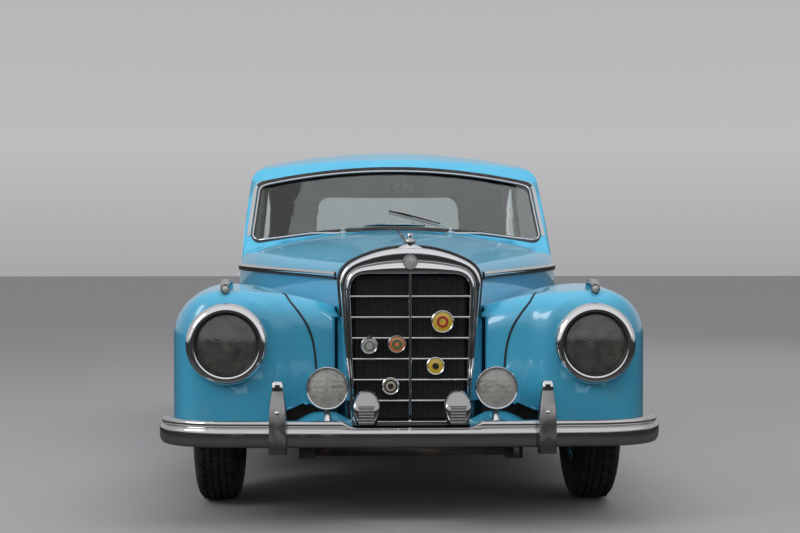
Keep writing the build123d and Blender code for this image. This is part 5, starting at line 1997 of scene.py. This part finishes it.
def make_seats():
    """Two front seats on runners and a rear bench, in pleated leather."""
    up = Vector((0, -0.05, 1)).normalized()
    front_lean = Vector((0, -0.975, 0.22)).normalized()
    rear_lean = Vector((0, -0.97, 0.24)).normalized()
    edge_a, edge_b = seat_middle - 0.228, seat_middle + 0.228
    for kind, outline in front_pads.items():
        lean, axis, border = (up, 1, 0.065) if "cushion" in kind else (front_lean, 2, 0.070)
        pad = make_pad(kind + "_left", outline, edge_a, edge_b, pleat_pitch * 3, lean, axis, border)
        twin = put_in_scene(kind + "_right", pad.data.copy())
        for vertex in twin.data.vertices:
            vertex.co.x = -vertex.co.x
        twin.data.flip_normals()
        for seat in (pad, twin):
            fasten(seat, "car_body", "seat_leather")
        if "cushion" in kind:
            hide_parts("seats")
    for kind, outline in rear_pads.items():
        lean, axis, border = (up, 1, 0.055) if "cushion" in kind else (rear_lean, 2, 0.065)
        pad = make_pad(kind, outline, -0.545, 0.545, pleat_pitch * 9, lean, axis, border)
        fasten(pad, "car_body", "seat_leather")
    frames = []
    for x in (seat_middle - 0.175, seat_middle + 0.175):
        frames.append(box_part((x - 0.018, -0.010, 0.336), (x + 0.018, 0.440, 0.366)))
        stay = curve_through([(x, 0.400, 0.372), (x, 0.455, 0.378), (x, 0.482, 0.470)], 6)
        frames.append(tube(stay, 0.011, 10, up=Vector(leftward)))
    softened(add("seat_runners", with_mirror(joined(*frames)), chassis_black), 0.002)
    outline = [(0.470, 0.425), (0.486, 0.425), (0.598, 0.925), (0.586, 0.935)]
    back_panel = across(outline, (seat_middle - 0.222, seat_middle + 0.222))
    softened(add("seat_back_panels", with_mirror(back_panel), cream_leather), 0.004)


def dial_part(x, z, radius, face_y):
    """A bezel, a plain face with marks and a needle, without figures."""
    bezel = lathe(
        [
            (-0.004, radius + 0.004), (0.006, radius + 0.004), (0.008, radius + 0.002), (0.008, radius),
            (0.003, radius - 0.002),
        ],
        (x, face_y, z), rearward, 40,
    )
    face = lathe([(0.0015, radius - 0.001), (0.0015, 0.0)], (x, face_y, z), rearward, 40)
    marks = []
    for k in range(11):
        turn = radians(-135 + 27 * k)
        long_mark = k % 2 == 0
        inner = radius * (0.72 if long_mark else 0.80)
        outer = radius * 0.92
        away = Vector((sin(turn), 0, cos(turn)))
        level = Vector((x, face_y + 0.0022, z))
        marks.append(tube([level + away * inner, level + away * outer], 0.0007, 6, up=Vector(rearward)))
    tip = Vector((sin(radians(-110)), 0, cos(radians(-110))))
    level = Vector((x, face_y + 0.0032, z))
    marks.append(
        tube([level - tip * radius * 0.15, level + tip * radius * 0.68], 0.0009, 6, up=Vector(rearward))
    )
    marks.append(
        lathe([(0.001, 0.0), (0.001, 0.0035), (0.005, 0.003), (0.006, 0.0)], (x, face_y, z), rearward, 16)
    )
    return bezel, face, joined(*marks)


# x and radius of each dial, and profiles of the knobs: along the axis, radius
dial_rows = ((0.268, 0.030), (0.350, 0.024), (0.432, 0.030), (0.0, 0.026), (0.085, 0.018))
dash_knob_profile = [(-0.002, 0.007), (0.004, 0.006), (0.010, 0.008), (0.014, 0.007), (0.016, 0.0)]
lid_knob_profile = [(-0.002, 0.009), (0.003, 0.009), (0.010, 0.006), (0.012, 0.0)]


def make_dashboard():
    """A walnut board under a dark padded roll, with dials, a glove box lid and knobs."""
    outline = rounded(
        [
            (-0.476, 0.772), (-0.386, 0.777), (-0.352, 0.800), (-0.348, 0.868), (-0.372, 0.880),
            (-0.476, 0.880),
        ],
        0.012, 4,
    )
    stations = (-0.662, -0.640, -0.40, 0.0, 0.40, 0.640, 0.662)
    add("dash_board", across(outline, stations), walnut, "dashboard")
    roll_line = rounded(
        [(-0.477, 0.872), (-0.372, 0.872), (-0.352, 0.884), (-0.368, 0.903), (-0.477, 0.904)], 0.012, 4,
    )
    add("dash_roll", across(roll_line, stations), trim_cloth)
    face_y = -0.350
    rims = []
    faces = []
    marks = []
    for x, radius in dial_rows:
        rim, face, lines = dial_part(x, 0.836, radius, face_y)
        rims.append(rim)
        faces.append(face)
        marks.append(lines)
    for k in range(5):
        rims.append(lathe(dash_knob_profile, (-0.085 - 0.032 * k, face_y, 0.822), rearward, 20))
    lid = rounded([(-0.600, 0.806), (-0.300, 0.806), (-0.300, 0.866), (-0.600, 0.866)], 0.010, 5)
    lid_rings = [[Vector((x, y, z)) for x, z in lid] for y in (-0.352, -0.3455)]
    add("glove_box_lid", capped(lid_rings), walnut)
    rims.append(lathe(lid_knob_profile, (-0.450, -0.345, 0.855), rearward, 20))
    add("dash_bezels", joined(*rims), chrome)
    add("dial_faces", joined(*faces), dial_black)
    add("dial_marks", joined(*marks), ivory_plastic)


def make_steering_wheel():
    """Ivory rim with finger grips, three bright spokes, a horn ring and the column."""
    centre = Vector((0.350, -0.150, 0.830))
    tilt = radians(58)
    rim_radius = 0.204
    horn_ring_radius = 0.115
    axis = Vector((0, sin(tilt), cos(tilt)))
    side = Vector(leftward)
    up = side.cross(axis) * -1
    count = 180
    path = [centre + side * u + up * v for u, v in circle(rim_radius, count)]
    sizes = [1 + 0.045 * cos(2 * pi * k / count * 45) for k in range(count)]
    rings = sweep(path, circle(0.0118, 14), up=axis, closed=True, scales=sizes)
    rim = skin(rings + rings[:1])
    hub = lathe(
        [
            (-0.030, 0.020), (-0.024, 0.030), (-0.004, 0.036), (0.006, 0.034), (0.010, 0.028),
            (0.014, 0.016), (0.016, 0.0),
        ],
        centre, axis, 40,
    )
    column_end = centre - axis * 0.386
    column = capped(sweep([centre - axis * 0.020, column_end], circle(0.0195, 24), up=side))
    add("steering_wheel_rim", joined(rim, hub), ivory_plastic, "steering_wheel")
    spokes = []
    for degrees in (90, 210, 330):
        turn = radians(degrees)
        away = side * cos(turn) + up * sin(turn)
        aside = axis.cross(away)
        for shift in (-0.008, 0.0, 0.008):
            start = centre + away * 0.024 + aside * shift - axis * 0.006
            end = centre + away * 0.198 + aside * shift * 1.2
            spoke_path = curve_through([start, start.lerp(end, 0.5) - axis * 0.004, end], 6)
            spokes.append(tube(spoke_path, 0.0024, 8, up=axis))
    horn_path = [centre + side * u + up * v + axis * 0.004 for u, v in circle(horn_ring_radius, 96)]
    spokes.append(ring_tube(horn_path, circle(0.0030, 10), up=axis))
    add("steering_wheel_spokes", joined(*spokes), chrome)
    add("steering_column", column, chassis_black)


def in_cabin(place, normal):
    """Whether a face of the body shell looks into the cabin."""
    inward = normal.dot(Vector((0, 0.40, 0.70)) - place)
    return -0.50 < place.y < 1.12 and abs(place.x) < 0.80 and inward > 0.05


def line_cabin():
    """Cloth on the inner faces of roof and shell, leather on the doors' inner faces."""
    for name, lining, inside in (
        ("roof_finished", trim_cloth, lambda p, n: n.dot(Vector((0, 0.45, 1.05)) - p) > 0.02),
        ("body_shell_finished", trim_cloth, in_cabin),
        ("door_left_finished", cream_leather, lambda p, n: n.x < -0.6),
        ("door_right_finished", cream_leather, lambda p, n: n.x > 0.6),
    ):
        mesh = bpy.data.objects[name].data
        mesh.materials.append(lining)
        for face in mesh.polygons:
            if inside(face.center, face.normal):
                face.material_index = 1


# Round foot and knob of the doors' inner handles: along the axis, radius
handle_rose = [(-0.003, 0.0), (-0.003, 0.022), (0.004, 0.020), (0.012, 0.009), (0.022, 0.008), (0.024, 0.0)]
handle_knob = [(-0.004, 0.0), (-0.004, 0.009), (0.016, 0.010), (0.022, 0.0)]


def make_door_fittings():
    """A window winder and a lock lever on each door's inner face."""
    for side, label in both_sides:
        card = surface_of(f"door_{label}")
        parts = []
        for y, z, kind in ((0.10, 0.66, "winder"), (0.32, 0.76, "lever")):
            hit, _ = cast(card, (0, y, z), (side, 0, 0))
            if hit is None:
                continue
            inward = Vector((-side, 0, 0))
            parts.append(lathe(handle_rose, hit, inward, 28))
            reach = Vector((0, 0.075, -0.045)) if kind == "winder" else Vector((0, -0.080, 0.0))
            start = hit + inward * 0.018
            parts.append(tube([start, start + reach], 0.0055, 10, up=Vector(leftward), scales=[1, 0.8]))
            parts.append(lathe(handle_knob, start + reach, inward, 20))
        if parts:
            add(f"door_fittings_{label}", joined(*parts), chrome, body=f"door_{label}_body")


def strip_on(surface, starts, direction, lift):
    """Points where parallel rays meet a surface, lifted off it along its normal."""
    path = []
    for start in starts:
        hit, normal = cast(surface, start, direction)
        if hit:
            if normal.dot(Vector(direction)) > 0:
                normal = -normal
            path.append(hit + normal * lift)
    return path


def trim_strip(path, width, rise, normal_of=Vector(upward)):
    section = tapered(width / 2, -0.001, width * 0.36, rise, min(width, rise) * 0.45, 4)
    return capped(sweep(path, section, up=normal_of))


# Sections of the bonnet's edge strips and of the seals under them: outward, up
edge_strip_section = [
    (-0.004, -0.0085), (0.003, -0.0085), (0.0080, -0.003), (0.0085, 0.006), (0.0050, 0.0130),
    (-0.004, 0.0130),
]
edge_seal_section = [(-0.004, -0.0040), (0.0050, -0.0040), (0.0060, 0.0036), (-0.004, 0.0036)]


def make_bonnet_trim():
    """Bright strips along the bonnet's lower edges and spine, with a dark seal under each edge strip."""
    bonnet = surface_of("bonnet")
    parts = []
    edge = []
    for k in range(60):
        y = -2.012 + 1.440 * k / 59
        z = 0.8995 + (y + 2.022) * 0.014 / 1.460 + 0.0085
        hit, _ = cast(bonnet, (1.2, y, z), (-1, 0, 0))
        if hit:
            edge.append(hit + Vector((0.0025, 0, 0)))
    parts.append(with_mirror(capped(sweep(edge, edge_strip_section))))
    spine = strip_on(bonnet, [(0, -2.010 + 1.430 * k / 40, above_car) for k in range(41)], downward, 0.0015)
    parts.append(trim_strip(spine, 0.014, 0.006))
    add("bonnet_strips", joined(*parts), chrome, body="bonnet_body", crease=50)
    seal = capped(sweep([p + Vector((0.001, 0, -0.0125)) for p in edge], edge_seal_section))
    add("bonnet_seals", with_mirror(seal), seal_rubber, body="bonnet_body")


# The outer door handles: profiles along the axis and radius, and the grip's way from its foot
escutcheon_profile = [
    (-0.002, 0.0), (-0.002, 0.021), (0.003, 0.020), (0.006, 0.014), (0.018, 0.011), (0.024, 0.011),
    (0.026, 0.0),
]
lock_profile = [(0, 0.0), (0, 0.010), (0.003, 0.009), (0.005, 0.0)]
door_grip_places = [
    (0.022, 0.012, 0), (0.030, -0.030, 0.001), (0.034, -0.085, 0.0), (0.026, -0.132, -0.002),
]


def make_door_trim():
    """A bright belt strip and a handle with its lock on each door."""
    for side, label in both_sides:
        door = surface_of(f"door_{label}")
        starts = [(side * beside_car, -0.415 + 1.090 * k / 40, 0.885) for k in range(41)]
        path = strip_on(door, starts, (-side, 0, 0), 0.001)
        belt = trim_strip(path, 0.016, 0.007, normal_of=Vector((side, 0, 0)))
        add(f"door_belt_strip_{label}", belt, chrome, body=f"door_{label}_body", crease=50)
        hit, _ = cast(door, (side * beside_car, 0.590, 0.800), (-side, 0, 0))
        outward = (side, 0, 0)
        escutcheon = lathe(escutcheon_profile, hit, outward, 32)
        grip_path = curve_through([hit + Vector((side * x, y, z)) for x, y, z in door_grip_places], 8)
        grip = tube(grip_path, 0.0085, 12, scales=[1.15 - 0.45 * k / 24 for k in range(25)])
        lock = lathe(lock_profile, hit + Vector((0, 0.0, -0.045)), outward, 20)
        add(f"door_handle_{label}", joined(escutcheon, grip, lock), chrome, body=f"door_{label}_body")


# The boot handle: its foot's profile, and the grip's way across it
boot_plate_profile = [
    (-0.003, 0.0), (-0.003, 0.026), (0.003, 0.024), (0.007, 0.016), (0.020, 0.013), (0.022, 0.0),
]
boot_grip_places = [
    (-0.075, 0.020, -0.012), (-0.040, 0.032, -0.002), (0.040, 0.032, -0.002), (0.075, 0.020, -0.012),
]
# The rain gutter's section: outward, up; and its height over the side windows
gutter_section = [(-0.004, -0.004), (0.007, -0.004), (0.009, 0.001), (0.007, 0.005), (-0.004, 0.005)]
gutter_ys = (-0.40, -0.02, 0.30, 0.70, 0.92, 1.10, 1.25)
gutter_zs = (0.955, 1.338, 1.365, 1.368, 1.350, 1.270, 1.130)


def make_rear_trim():
    """Handle, spine strip and plate lamp of the boot lid, and the rain gutters."""
    lid = surface_of("boot_lid")
    hit, _ = cast(lid, (0, behind_car, 0.520), forward)
    if hit:
        plate = lathe(boot_plate_profile, hit, rearward, 32)
        grip_path = curve_through([hit + Vector(place) for place in boot_grip_places], 8)
        grip = tube(grip_path, 0.0075, 12, up=Vector(rearward))
        add("boot_handle", joined(plate, grip), chrome, body="boot_lid_body")
    lid_spine = strip_on(lid, [(0, 1.575 + 0.50 * k / 24, above_car) for k in range(25)], downward, 0.001)
    add("boot_strip", trim_strip(lid_spine, 0.016, 0.006), chrome, body="boot_lid_body", crease=50)
    hit, _ = cast(lid, (0, behind_car, 0.610), forward)
    if hit:
        housing = tapered(0.085, -0.020, 0.070, 0.022, 0.012, 5)
        rings = [
            [Vector((p[0] * size, hit.y + along, 0.645 + p[1] * size)) for p in housing]
            for along, size in ((-0.030, 1.0), (0.012, 1.0), (0.024, 0.86))
        ]
        add("plate_lamp", capped(rings), chrome, body="boot_lid_body")
    roof = surface_of("roof")
    for side, label in both_sides:
        gutter = []
        for k in range(50):
            y = -0.395 + 1.60 * k / 49
            hit, _ = cast(
                roof, (side * beside_car, y, float(np.interp(y, gutter_ys, gutter_zs))), (-side, 0, 0),
            )
            if hit:
                gutter.append(hit + Vector((side * 0.003, 0, 0)))
        strip = capped(sweep(gutter, [(-side * u, v) for u, v in gutter_section]))
        add(f"rain_gutter_{label}", strip, chrome, crease=50)


make_studio()
make_panels()
make_wings()
make_radiator_sides()
make_apron()
make_headlamps()
make_fog_lamps()
make_horns()
make_wing_lamps()
make_tail_lamps()
make_radiator_shell()
make_filler_cap()
make_badges()
make_bumper("front_bumper_bar", -1, -2.090, front_bumper_z, True, "front_bumper")
make_bumper("rear_bumper_bar", 1, 2.080, rear_bumper_z, False, "rear_bumper")
make_overriders("front_overriders", -1, front_bumper_z, dull_plate)
make_overriders("rear_overriders", 1, rear_bumper_z, aged_chrome)
make_wheels()
make_screen_beads()
make_wipers()
make_mirror()
make_seats()
make_dashboard()
make_steering_wheel()
line_cabin()
make_door_fittings()
make_bonnet_trim()
make_door_trim()
make_rear_trim()
